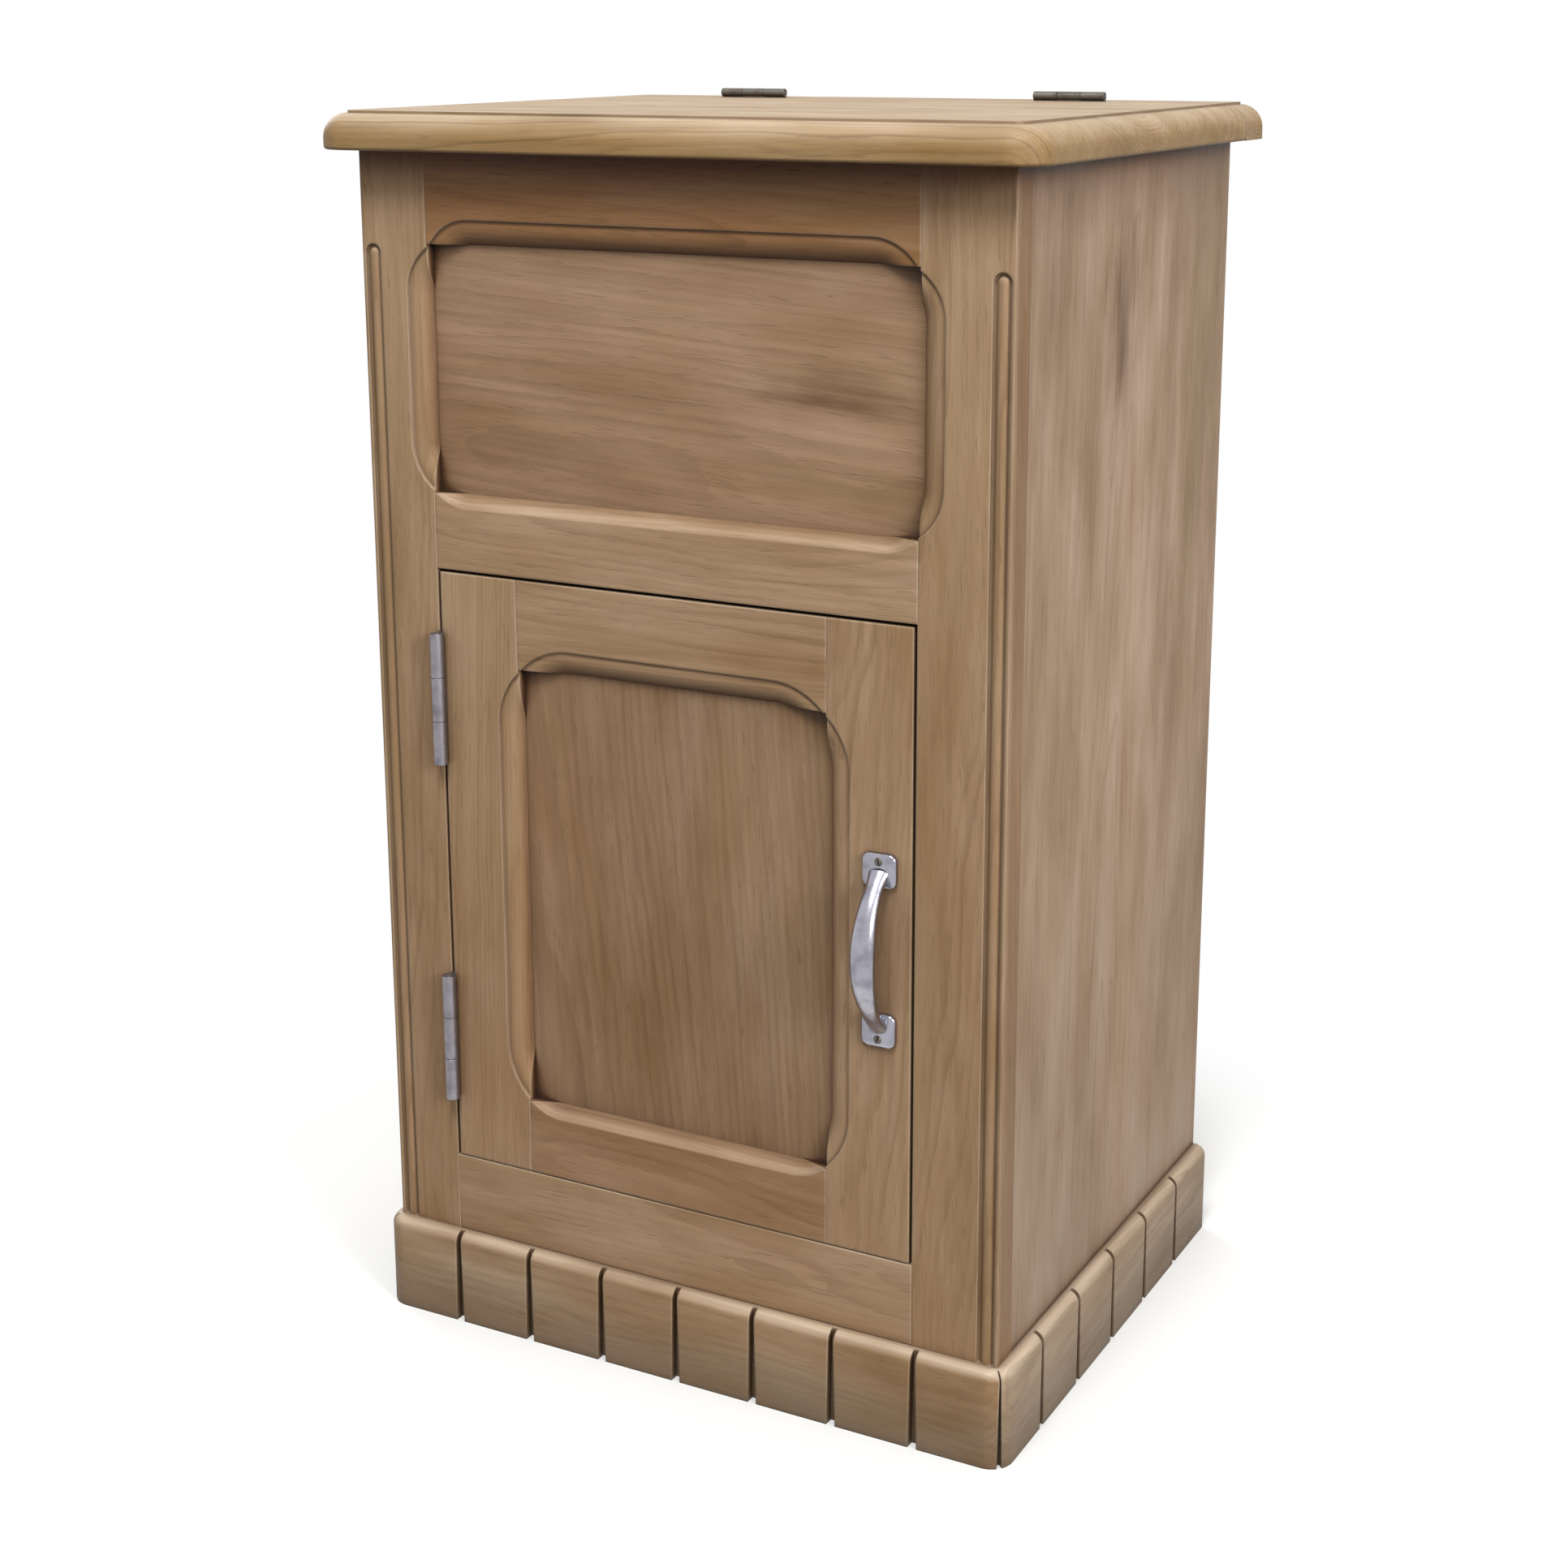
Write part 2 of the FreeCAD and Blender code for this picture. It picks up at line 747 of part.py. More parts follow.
def door_catch():
    """A catch: a barrel in the door's edge and the blunt bolt that stands a little proud of it."""
    start = Vector(door_right, catch_y(), catch_height())
    bolt = Part.makeCone(catch_bolt_radius, catch_bolt_tip, catch_bolt_proud, start, Vector(1, 0, 0))
    return catch_barrel().fuse(bolt)


def strike_plate():
    """The catch's strike: a thin plate in the post's edge with a hole for the bolt."""
    hole = Part.makeCylinder(
        strike_dimple_radius, strike_thickness + overrun,
        Vector(opening_half, catch_y(), catch_height()), Vector(1, 0, 0),
    )
    return strike_cut(0).cut(hole)


def front_pieces():
    """What fills or frames the front opening, made about the opening's own middle."""
    pieces = {
        "top_rail": top_rail(),
        "middle_rail": middle_rail(),
        "bottom_rail": bottom_rail(),
        "upper_panel": upper_panel(),
        "strike_plate": strike_plate(),
        "door_rail_top": door_rail_top(),
        "door_rail_bottom": door_rail_bottom(),
        "door_panel": door_panel(),
        "door_handle": door_handle(),
        "door_catch": door_catch(),
    }
    for side, word in ((-1, "left"), (1, "right")):
        pieces["front_post_" + word] = front_post(side)
        pieces["door_stile_" + word] = door_stile(side)
    for word, place in zip(("upper", "lower"), door_hinge_places()):
        pieces["door_hinge_" + word + "_post_leaf"] = placed(door_hinge.leaf(1), place)
        pieces["door_hinge_" + word + "_door_leaf"] = placed(door_hinge.leaf(-1), place)
        pieces["door_hinge_" + word + "_pin"] = placed(door_hinge.pin(), place)
    return {name: shape.translated(to_opening) for name, shape in pieces.items()}


def build():
    """Every piece by name."""
    pieces = front_pieces()
    pieces["bin_floor"] = floor_board(bin_floor_bottom)
    pieces["cupboard_floor"] = floor_board(cupboard_floor_top - floor_thickness)
    pieces["plinth_front"] = plinth_front()
    pieces["plinth_back"] = plinth_back()
    pieces["rear_top_strip"] = rear_top_strip()
    pieces["door_stop"] = door_stop()
    pieces["lid"] = lid()
    for side, word in ((-1, "left"), (1, "right")):
        pieces["side_board_" + word] = side_board(side)
        pieces["plinth_" + word] = plinth_side(side)
        pieces["bin_floor_cleat_" + word] = floor_cleat(side, bin_floor_bottom)
        pieces["cupboard_floor_cleat_" + word] = floor_cleat(side, cupboard_floor_top - floor_thickness)
    for index in range(back_board_count):
        pieces["back_board_" + str(index + 1)] = back_board(index)
    for word, place in zip(("left", "right"), lid_hinge_places()):
        pieces["lid_hinge_" + word + "_strip_leaf"] = placed(lid_hinge.leaf(1), place)
        pieces["lid_hinge_" + word + "_lid_leaf"] = placed(lid_hinge.leaf(-1), place)
        pieces["lid_hinge_" + word + "_pin"] = placed(lid_hinge.pin(), place)
    return pieces


os.makedirs("parts", exist_ok=True)
for name, shape in build().items():
    shape.exportStep(os.path.join("parts", name + ".step"))
    state = "valid" if shape.isValid() else "NOT VALID"
    print(name, len(shape.Solids), "solid", round(shape.Volume), "mm3", state)
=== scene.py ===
# %% [markdown]
# # A waxed oak bedside cabinet
# The cabinet has a lift-up lid over a panelled bin, and a framed door over a cupboard.
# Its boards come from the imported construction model, which is loaded first and never moved.
# This lesson dresses those boards in oak, nickel and steel, adds the smallest fittings,
# and lights it all plainly.

# %% Load the construction model
import json
import math
import random

import bmesh
import bpy
from mathutils import Euler, Matrix, Vector


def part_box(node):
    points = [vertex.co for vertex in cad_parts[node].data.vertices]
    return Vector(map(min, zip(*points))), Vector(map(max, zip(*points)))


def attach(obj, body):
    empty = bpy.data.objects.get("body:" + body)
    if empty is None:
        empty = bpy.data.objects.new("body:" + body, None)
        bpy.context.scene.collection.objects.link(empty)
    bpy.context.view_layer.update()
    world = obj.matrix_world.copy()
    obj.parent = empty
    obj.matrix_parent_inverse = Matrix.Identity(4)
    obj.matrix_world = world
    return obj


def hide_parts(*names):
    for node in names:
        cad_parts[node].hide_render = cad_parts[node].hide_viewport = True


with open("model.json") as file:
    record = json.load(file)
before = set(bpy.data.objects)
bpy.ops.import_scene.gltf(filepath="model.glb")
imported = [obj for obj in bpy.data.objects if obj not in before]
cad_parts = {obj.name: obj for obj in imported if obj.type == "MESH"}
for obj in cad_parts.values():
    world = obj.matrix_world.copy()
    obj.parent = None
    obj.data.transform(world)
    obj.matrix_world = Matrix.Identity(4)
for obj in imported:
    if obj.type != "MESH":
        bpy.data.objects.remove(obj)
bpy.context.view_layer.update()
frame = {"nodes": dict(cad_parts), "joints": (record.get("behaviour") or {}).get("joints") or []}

nodes = frame["nodes"]
MM = 0.001

# %% [markdown]
# ## Helpers for every finish
# Colours are written as sRGB hex values, as a paint card gives them, and the renderer works in linear light,
# so one function turns the first into the second. Another adds a node with its settings and links, so that
# each finish below can be read from top to bottom like a recipe. Sockets go by number where names repeat:
# in Map Range, 0 is the value, 1 to 2 the range it comes from and 3 to 4 the range it goes to,
# and in a colour Mix, 6 and 7 are the two colours.

# %% Helpers
def linear(code):
    """An sRGB hex colour as linear red, green and blue, with a full alpha."""
    parts = [int(code[i:i + 2], 16) / 255 for i in (1, 3, 5)]
    return [c / 12.92 if c <= 0.04045 else ((c + 0.055) / 1.055) ** 2.4 for c in parts] + [1.0]


def emptied(owner):
    """The cleared node tree of a material or a world."""
    owner.use_nodes = True
    owner.node_tree.nodes.clear()
    return owner.node_tree


def add(tree, kind, inputs=None, **settings):
    """Adds a node, by Blender's name for it without ShaderNode, with its settings and inputs.

    An input is a constant, a socket, or a node, which is linked by its first output in use.
    """
    made = tree.nodes.new(kind if kind.startswith("NodeGroup") else "ShaderNode" + kind)
    for key, value in settings.items():
        setattr(made, key, value)
    for key, value in (inputs or {}).items():
        if isinstance(value, bpy.types.Node):
            value = next(socket for socket in value.outputs if socket.enabled)
        if isinstance(value, bpy.types.NodeSocket):
            tree.links.new(value, made.inputs[key])
        else:
            made.inputs[key].default_value = value
    return made


print("mid grey is", round(linear("#808080")[0], 3), "in linear light")

# %% [markdown]
# ## The figure in oak
# Oak shows growth rings, dark open pores that follow them, and slow changes of tone along the board.
# A flat picture of grain would look pasted on, and would not match on the edges. So the figure is made solid:
# each board is cut out of an imaginary log with rings round its pith, and its faces show whatever rings they
# cut through, straight lines or arches, also on the end grain. All boards share one node group for this.
# Each board only says where its log lay, which two tones it has, and how much wear, dirt and painted shade it
# gets.

# %% A shared group for all boards
figure = bpy.data.node_groups.new("board_figure", "ShaderNodeTree")
board_values = {
    "Turn": "Vector", "Shift": "Vector", "Light wood": "Color", "Dark wood": "Color", "Ring width": "Float",
    "Mark place": "Vector", "Mark size": "Vector", "Mark depth": "Float", "Soiling": "Float",
    "Pore depth": "Float", "Moulded": "Float", "Ring depth": "Float", "Mottle": "Float",
    "Top wear": "Float", "Scuff": "Float", "Scuff height": "Float",
}
figure_results = {"Colour": "Color", "Roughness": "Float", "Height": "Float", "Eased": "Vector"}
for way, sockets in (("INPUT", board_values), ("OUTPUT", figure_results)):
    for name, kind in sockets.items():
        figure.interface.new_socket(name, in_out=way, socket_type="NodeSocket" + kind)
given = add(figure, "NodeGroupInput").outputs
place = add(figure, "TexCoord").outputs["Object"]
turned = add(figure, "VectorRotate", {"Vector": place, "Rotation": given["Turn"]}, rotation_type="EULER_XYZ")
log = add(figure, "VectorMath", {0: turned, 1: given["Shift"]}, operation="ADD")
print("board figure:", len(board_values), "values in,", len(figure_results), "results out")

# %% [markdown]
# ## Growth rings
# A tree lays down one ring a year: pale, open wood in spring, and denser, darker wood in summer.
# A wave texture would space them evenly and make them all alike. Here the distance from the pith is counted
# in ring widths. The whole part of that number is the year, which gets its own strength by chance,
# and the rest is the season. A slow noise first pushes the place about, so that the rings wander
# as they do in a real trunk.

# %% Rings from the distance to the pith
RING = 2.6 * MM            # one year's growth
WANDER_ACROSS = 90 * MM
WANDER_ALONG = 420 * MM
WANDER_REACH = 34 * MM
FAINTEST_RING = 0.05


def stretched_noise(tree, spot, size_across, size_along, detail):
    """A noise drawn out along the grain, with features of about these sizes."""
    repeats = (1 / size_across, 1 / size_across, 1 / size_along)
    stretched = add(tree, "VectorMath", {0: spot, 1: repeats}, operation="MULTIPLY")
    return add(tree, "TexNoise", {"Vector": stretched, "Scale": 1.0, "Detail": detail})


wander = stretched_noise(figure, log, WANDER_ACROSS, WANDER_ALONG, 3.0).outputs["Color"]
push = add(figure, "VectorMath", {0: wander, 1: (0.5, 0.5, 0.5)}, operation="SUBTRACT")
push = add(figure, "VectorMath", {0: push, 1: (WANDER_REACH, WANDER_REACH, 0)}, operation="MULTIPLY")
bent = add(figure, "VectorMath", {0: log, 1: push}, operation="ADD")
flat = add(figure, "VectorMath", {0: bent, 1: (1, 1, 0)}, operation="MULTIPLY")
radius = add(figure, "VectorMath", {0: flat}, operation="LENGTH")
years = add(figure, "Math", {0: radius, 1: given["Ring width"]}, operation="DIVIDE")
season = add(figure, "Math", {0: years}, operation="FRACT")
year = add(figure, "Math", {0: years}, operation="FLOOR")
chance = add(figure, "TexWhiteNoise", {"W": year}, noise_dimensions="1D")
summer = add(figure, "MapRange", {0: season, 1: 0.35, 2: 0.95}, interpolation_type="SMOOTHSTEP")
spring = add(figure, "MapRange", {0: season, 1: 0.5, 2: 0.0}, interpolation_type="SMOOTHSTEP")
strength = add(figure, "MapRange", {0: chance, 3: FAINTEST_RING, 4: given["Ring depth"]})
ring_shade = add(figure, "Math", {0: summer, 1: strength}, operation="MULTIPLY")
print("rings", round(RING / MM, 1), "mm apart,", len(figure.nodes), "nodes so far")

# %% [markdown]
# ## Pores, fibres and patches
# Oak's pores are open tubes that lie mostly in the spring wood. A cut face shows them as short dark dashes,
# and the fibres between them as long, soft streaks. Dashes painted on a face would stop at its edges,
# so each of these is a noise in the log, stretched along the grain to its own length. Two wider noises
# give the slow changes of tone along a board, and the blotches that years of polish leave.

# %% Noises along the grain
PORE_ACROSS = 0.9 * MM     # real pores are about 0.3 mm wide: drawn coarser so that they show
PORE_ALONG = 17 * MM
FIBRE_ACROSS = 4.5 * MM
FIBRE_ALONG = 160 * MM
PATCH_ACROSS = 120 * MM
PATCH_ALONG = 360 * MM
BLOTCH_ACROSS = 28 * MM
BLOTCH_ALONG = 98 * MM
pores = stretched_noise(figure, log, PORE_ACROSS, PORE_ALONG, 1.0)
pores = add(figure, "MapRange", {0: pores, 1: 0.56, 2: 0.70}, interpolation_type="SMOOTHSTEP")
crowded = add(figure, "MapRange", {0: spring, 3: 0.35, 4: 1.0})
pores = add(figure, "Math", {0: pores, 1: crowded}, operation="MULTIPLY")
fibre = stretched_noise(figure, log, FIBRE_ACROSS, FIBRE_ALONG, 4.0)
patch = stretched_noise(figure, log, PATCH_ACROSS, PATCH_ALONG, 2.0)
blotch = stretched_noise(figure, log, BLOTCH_ACROSS, BLOTCH_ALONG, 3.0)
print("pores drawn", round(PORE_ACROSS / MM, 1), "mm wide,", len(figure.nodes), "nodes so far")

# %% [markdown]
# ## The colour of the wood
# Each board has a light and a dark tone, and the fibres and rings decide between them at every point.
# Two tones alone look printed. So the patches and blotches make the wood paler or deeper, and deeper wood
# is also richer in colour, as where polish has sunk in. A reddish and an olive tint drift through it,
# and the pores, filled with old wax, are the darkest.

# %% Tones, mottling and tints
REDDISH, OLIVE, OLD_WAX = linear("#a27c5b"), linear("#8f7850"), linear("#4a3420")
grain_tone = add(figure, "MapRange", {0: fibre, 1: 0.3, 2: 0.7, 3: 0.14, 4: 0.56}, clamp=False)
grain_tone = add(figure, "Math", {0: grain_tone, 1: ring_shade}, operation="ADD", use_clamp=True)
two_tones = {"Factor": grain_tone, 6: given["Light wood"], 7: given["Dark wood"]}
wood = add(figure, "Mix", two_tones, data_type="RGBA")
mottling = add(figure, "Math", {0: patch, 1: blotch}, operation="ADD")
mottling = add(figure, "MapRange", {0: mottling, 1: 0.6, 2: 1.4, 3: -0.24, 4: 0.22})
paleness = add(figure, "Math", {0: mottling, 1: given["Mottle"], 2: 1.0}, operation="MULTIPLY_ADD")
richness = add(figure, "Math", {0: paleness, 1: -0.55, 2: 1.55}, operation="MULTIPLY_ADD")
wood = add(figure, "HueSaturation", {"Saturation": richness, "Value": paleness, "Color": wood})
drift = add(figure, "SeparateColor", {0: wander}).outputs
for channel, tint, most in ((0, REDDISH, 0.20), (1, OLIVE, 0.40)):
    share = add(figure, "MapRange", {0: drift[channel], 1: 0.50, 2: 0.75, 3: 0.0, 4: most})
    wood = add(figure, "Mix", {"Factor": share, 6: wood, 7: tint}, data_type="RGBA")
pore_shade = add(figure, "Math", {0: pores, 1: given["Pore depth"]}, operation="MULTIPLY")
wood = add(figure, "Mix", {"Factor": pore_shade, 6: wood, 7: OLD_WAX}, data_type="RGBA")
print("colour of the wood:", len(figure.nodes), "nodes so far")

# %% [markdown]
# ## Dark marks
# Two boards carry a dark mineral mark, drawn out along the grain. It could be painted on as a picture.
# Here the board gives the mark's place and its reach three ways, and the mark fades with the distance
# from that place. Fibres and blotches break up its edge, so that it looks grown in.

# %% A mark in the grain
MINERAL_STAIN = linear("#543820")
away = add(figure, "VectorMath", {0: place, 1: given["Mark place"]}, operation="SUBTRACT")
away = add(figure, "VectorMath", {0: away, 1: given["Mark size"]}, operation="DIVIDE")
away = add(figure, "VectorMath", {0: away}, operation="LENGTH")
ragged = add(figure, "Math", {0: fibre, 1: blotch}, operation="ADD")
ragged = add(figure, "MapRange", {0: ragged, 1: 0.6, 2: 1.4, 3: -0.9, 4: 0.9})
away = add(figure, "Math", {0: away, 1: ragged}, operation="ADD")
stain = add(figure, "MapRange", {0: away, 1: 1.2, 2: -0.3}, interpolation_type="SMOOTHSTEP")
stain = add(figure, "Math", {0: stain, 1: given["Mark depth"]}, operation="MULTIPLY")
wood = add(figure, "Mix", {"Factor": stain, 6: wood, 7: MINERAL_STAIN}, data_type="RGBA")
print("marks:", len(figure.nodes), "nodes so far")

# %% [markdown]
# ## Wear, with painted highlights
# Hands rub the sharp edges pale, and light and wiping bleach what faces up. The same paler colour also stands
# in as a painted highlight along edges and on faces that point up. Painting that edge by edge would take
# long.
# A Bevel node finds the edges instead: it gives a normal as if they were rounded, and where that differs from
# the real normal, an edge is near. The same rounded normal softens the edges in the shading, with no change
# to the mesh. What faces up is found from the normal's own height.

# %% Rubbed edges and faded tops, partly painted highlight
EDGE_BAND = 1.8 * MM
PALE_LIGHT_WOOD, PALE_DARK_WOOD = linear("#cfc0aa"), linear("#a6927a")
eased = add(figure, "Bevel", {"Radius": EDGE_BAND}, samples=6)
real_normal = add(figure, "NewGeometry").outputs["Normal"]
edge = add(figure, "VectorMath", {0: eased, 1: real_normal}, operation="DOT_PRODUCT")
edge = add(figure, "MapRange", {0: edge, 1: 0.985, 2: 0.80})
edge = add(figure, "Math", {0: edge, 1: blotch}, operation="MULTIPLY")
upward = add(figure, "SeparateXYZ", {0: add(figure, "TexCoord").outputs["Normal"]}).outputs["Z"]
paler_top = add(figure, "MapRange", {0: upward, 1: 0.2, 2: 0.9, 3: 0.0, 4: given["Top wear"]})
paler_top = add(figure, "Math", {0: paler_top, 1: blotch}, operation="MULTIPLY")
# paler edges and tops: partly real wear, partly a painted highlight where light catches them
wear_and_highlight = add(figure, "Math", {0: edge, 1: paler_top}, operation="MAXIMUM")
paler_wood = add(figure, "Mix", {"Factor": grain_tone, 6: PALE_LIGHT_WOOD, 7: PALE_DARK_WOOD}, data_type="RGBA")
wood = add(figure, "Mix", {"Factor": wear_and_highlight, 6: wood, 7: paler_wood}, data_type="RGBA")
print("edges wear over", round(EDGE_BAND / MM, 1), "mm,", len(figure.nodes), "nodes so far")

# %% [markdown]
# ## Scuffs, and painted shade on undersides
# Near the floor, feet and brooms leave greyish scuffs that thin out upwards, and faces that point down get a
# brown painted shade. Both depend only on where a point is or which way it faces, so they need no painting:
# the height of the point fades the scuffs, and the blotches make them patchy.

# %% Scuffed feet and painted shade on undersides
SCUFFED, UNDERSIDE_SHADE_BROWN = linear("#857a69"), linear("#4a3019")
at = add(figure, "SeparateXYZ", {0: place}).outputs
scuff = add(figure, "MapRange", {0: at["Z"], 1: given["Scuff height"], 2: 0.0, 3: 0.0, 4: given["Scuff"]})
patchy = add(figure, "MapRange", {0: blotch, 1: 0.35, 2: 0.65, 3: 0.4, 4: 1.2})
scuff = add(figure, "Math", {0: scuff, 1: patchy}, operation="MULTIPLY")
wood = add(figure, "Mix", {"Factor": scuff, 6: wood, 7: SCUFFED}, data_type="RGBA")
# painted shade: faces that point down turn dark brown
under = add(figure, "MapRange", {0: upward, 1: -0.10, 2: -0.85, 3: 0.0, 4: 0.65})
wood = add(figure, "Mix", {"Factor": under, 6: wood, 7: UNDERSIDE_SHADE_BROWN}, data_type="RGBA")
print("scuffs and undersides:", len(figure.nodes), "nodes so far")

# %% [markdown]
# ## Painted shade in the mouldings
# The hollow of each moulding gets a painted shade that turns its wood deeper and warmer. It could be painted
# in along each moulding. But all of them are cut into one flush front, so the depth behind that front tells
# what is hollow. What is flush, and the rim of the bead on each post, is kept for the next step.

# %% Painted shade, deeper colour in the hollows
SHOULDER, HOLLOW = 2.4 * MM, 5.5 * MM     # depths at which a moulding starts to deepen and is at its deepest
BEAD_START, BEAD_RIM = 20 * MM, 16 * MM   # how far in from the outer faces of the posts
HOLLOW_SHADE_TINT = (0.78, 0.70, 0.60)
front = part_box("middle_rail")[0].y
post_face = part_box("front_post_right")[1].x
hollow = add(figure, "MapRange", {0: at["Y"], 1: front + SHOULDER, 2: front + HOLLOW})
hollow = add(figure, "Math", {0: hollow, 1: given["Moulded"]}, operation="MULTIPLY")
# painted shade in the hollows of the mouldings
hollow_shaded = add(figure, "VectorMath", {0: wood, 1: HOLLOW_SHADE_TINT}, operation="MULTIPLY")
wood = add(figure, "Mix", {"Factor": hollow, 6: wood, 7: hollow_shaded}, data_type="RGBA")
aside = add(figure, "Math", {0: at["X"]}, operation="ABSOLUTE")
rim_from, rim_to = post_face - BEAD_START, post_face - BEAD_RIM
bead_rim = add(figure, "MapRange", {0: aside, 1: rim_from, 2: rim_to, 3: 0.0, 4: given["Moulded"]})
flush = add(figure, "Math", {0: given["Moulded"], 1: hollow}, operation="SUBTRACT")
flush = add(figure, "Math", {0: flush, 1: bead_rim}, operation="MAXIMUM")
print("front at", round(front / MM, 1), "mm,", len(figure.nodes), "nodes so far")

# %% [markdown]
# ## Painted shade and dust in the corners
# A soft brown is painted in as shade where boards stand close together and under the lid, and dark lines go
# into the corners, partly as packed dust and partly as painted shade.
# An Ambient Occlusion node tells how closed in a point is, so both gather by themselves wherever pieces meet.
# A wide reach gives the soft brown, and a short one gives the dark lines. On flush faces both are held back,
# apart from the painted shade right under the lid.

# %% Painted shade in corners and under the lid
SHADE_REACH, DUST_AND_SHADE_REACH = 45 * MM, 12 * MM
LID_SHADE, LID_SHADE_END = 32 * MM, 44 * MM   # how far below the lid the shade starts to thin out, and ends
FULL_DIRT_AND_SHADE = 0.9
PAINTED_SHADE_TINT = (0.32, 0.19, 0.10)
DUST_AND_SHADE_DARK = linear("#2c1c10")
lid_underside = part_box("lid")[0].z
# painted shade: a soft brown where boards stand close, and under the lid
painted_shade = add(figure, "AmbientOcclusion", {"Distance": SHADE_REACH}, samples=8).outputs["AO"]
painted_shade = add(figure, "MapRange", {0: painted_shade, 1: 0.985, 2: 0.66, 3: 0.0, 4: 0.97})
shade_share = add(figure, "MapRange", {0: given["Soiling"], 1: 0.0, 2: FULL_DIRT_AND_SHADE})
painted_shade = add(figure, "Math", {0: painted_shade, 1: shade_share}, operation="MULTIPLY")
shade_from, shade_to = lid_underside - LID_SHADE, lid_underside - LID_SHADE_END
shade_held_back = add(figure, "MapRange", {0: at["Z"], 1: shade_from, 2: shade_to, 3: 0.0, 4: flush})
kept = add(figure, "Math", {0: shade_held_back, 1: -0.65, 2: 1.0}, operation="MULTIPLY_ADD")
painted_shade = add(figure, "Math", {0: painted_shade, 1: kept}, operation="MULTIPLY")
shaded_wood = add(figure, "VectorMath", {0: wood, 1: PAINTED_SHADE_TINT}, operation="MULTIPLY")
wood = add(figure, "Mix", {"Factor": painted_shade, 6: wood, 7: shaded_wood}, data_type="RGBA")
# dark lines in the corners: partly packed dust, partly painted shade
dust_and_shade = add(figure, "AmbientOcclusion", {"Distance": DUST_AND_SHADE_REACH}, samples=8).outputs["AO"]
dust_and_shade = add(figure, "MapRange", {0: dust_and_shade, 1: 0.86, 2: 0.40}, interpolation_type="SMOOTHSTEP")
dust_and_shade = add(figure, "Math", {0: dust_and_shade, 1: given["Soiling"]}, operation="MULTIPLY")
kept = add(figure, "Math", {0: flush, 1: -0.8, 2: 1.0}, operation="MULTIPLY_ADD")
dust_and_shade = add(figure, "Math", {0: dust_and_shade, 1: kept}, operation="MULTIPLY")
wood = add(figure, "Mix", {"Factor": dust_and_shade, 6: wood, 7: DUST_AND_SHADE_DARK}, data_type="RGBA")
print("smoke reaches", round(SHADE_REACH / MM), "mm and grime", round(DUST_AND_SHADE_REACH / MM), "mm from a corner")

# %% [markdown]
# ## Sheen and relief
# Wax on oak gives a low sheen that changes a little from patch to patch, and the pores stay dull.
# The pores are small pits, and the dense rings stand up a trace where softer wood has worn away.
# That is far too fine to model, so it leaves the group as a height, for a Bump node in each board's material.

# %% Roughness and height
rough = add(figure, "MapRange", {0: patch, 1: 0.25, 2: 0.75, 3: 0.46, 4: 0.62})
rough = add(figure, "Math", {0: pores, 1: 0.2, 2: rough}, operation="MULTIPLY_ADD")
pits = add(figure, "Math", {0: pores, 1: -0.8, 2: 1.0}, operation="MULTIPLY_ADD")
height = add(figure, "Math", {0: ring_shade, 1: 0.35, 2: pits}, operation="MULTIPLY_ADD")
add(figure, "NodeGroupOutput", {"Colour": wood, "Roughness": rough, "Height": height, "Eased": eased})
print("board figure:", len(figure.nodes), "nodes")

# %% [markdown]
# ## One finish per board
# The joiner picked and turned each board, so each has its own piece of the log, a grain that runs along its
# length, and a tone that depends on where it stood in the light. One material for all would run the same
# rings through every joint, so each board gets a material of its own, with its log placed by chance.
# The chance is drawn from the board's name, and so stays the same each time the script runs.

# %% Tones of the boards
TONES = {   # light and dark wood
    "front": ("#9c8062", "#7b5f43"),
    # the top rail is darker as a painted shade from the lid above it
    "top_rail": ("#8a6440", "#664626"),
    "middle_rail": ("#a38769", "#80654b"),
    "door_foot": ("#8e6d4d", "#6e5134"),
    "upper_panel": ("#9d8065", "#7b6148"),
    "door_panel": ("#8b6e50", "#664c34"),
    "side": ("#a0856c", "#7f664f"),
    "top": ("#957850", "#6e5430"),
    "plinth": ("#9b7f60", "#705841"),
    "plinth_side": ("#978269", "#6d5946"),
    "inside": ("#b4966c", "#8e7048"),
}
print("tones:", ", ".join(TONES))

# %% [markdown]
# ## How a board gets its finish
# The function below lays a log along the board's grain, tilts it by a few degrees, as saws do, and draws by
# chance how far up the trunk the board was cut. It hands those values, the board's wear and its painted shade
# to the shared group, and joins the group to a Principled shader. For one board that could be clicked
# together by hand, but for 29 of them a function is quicker and keeps all finishes alike.

# %% A finish for one board
TURNS = {"X": (0, -math.pi / 2, 0), "Y": (math.pi / 2, 0, 0), "Z": (0, 0, 0)}   # lays the grain along an axis
PITH_ASIDE, TRUNK = 25, 3000   # mm that a board may lie beside its pith, and up or down its trunk
OAK_PORES, PINE_PORES = 0.28, 0.05
WAX_IOR, WAX_SHEEN = 1.45, 0.4
RELIEF, RELIEF_STRENGTH = 0.3 * MM, 0.35
NO_MARK = ((0, 0, 0), (1, 1, 1), 0.0)
finished_boards = []


def dress(node, material):
    """Gives one piece of the construction model its only material."""
    nodes[node].data.materials.clear()
    nodes[node].data.materials.append(material)


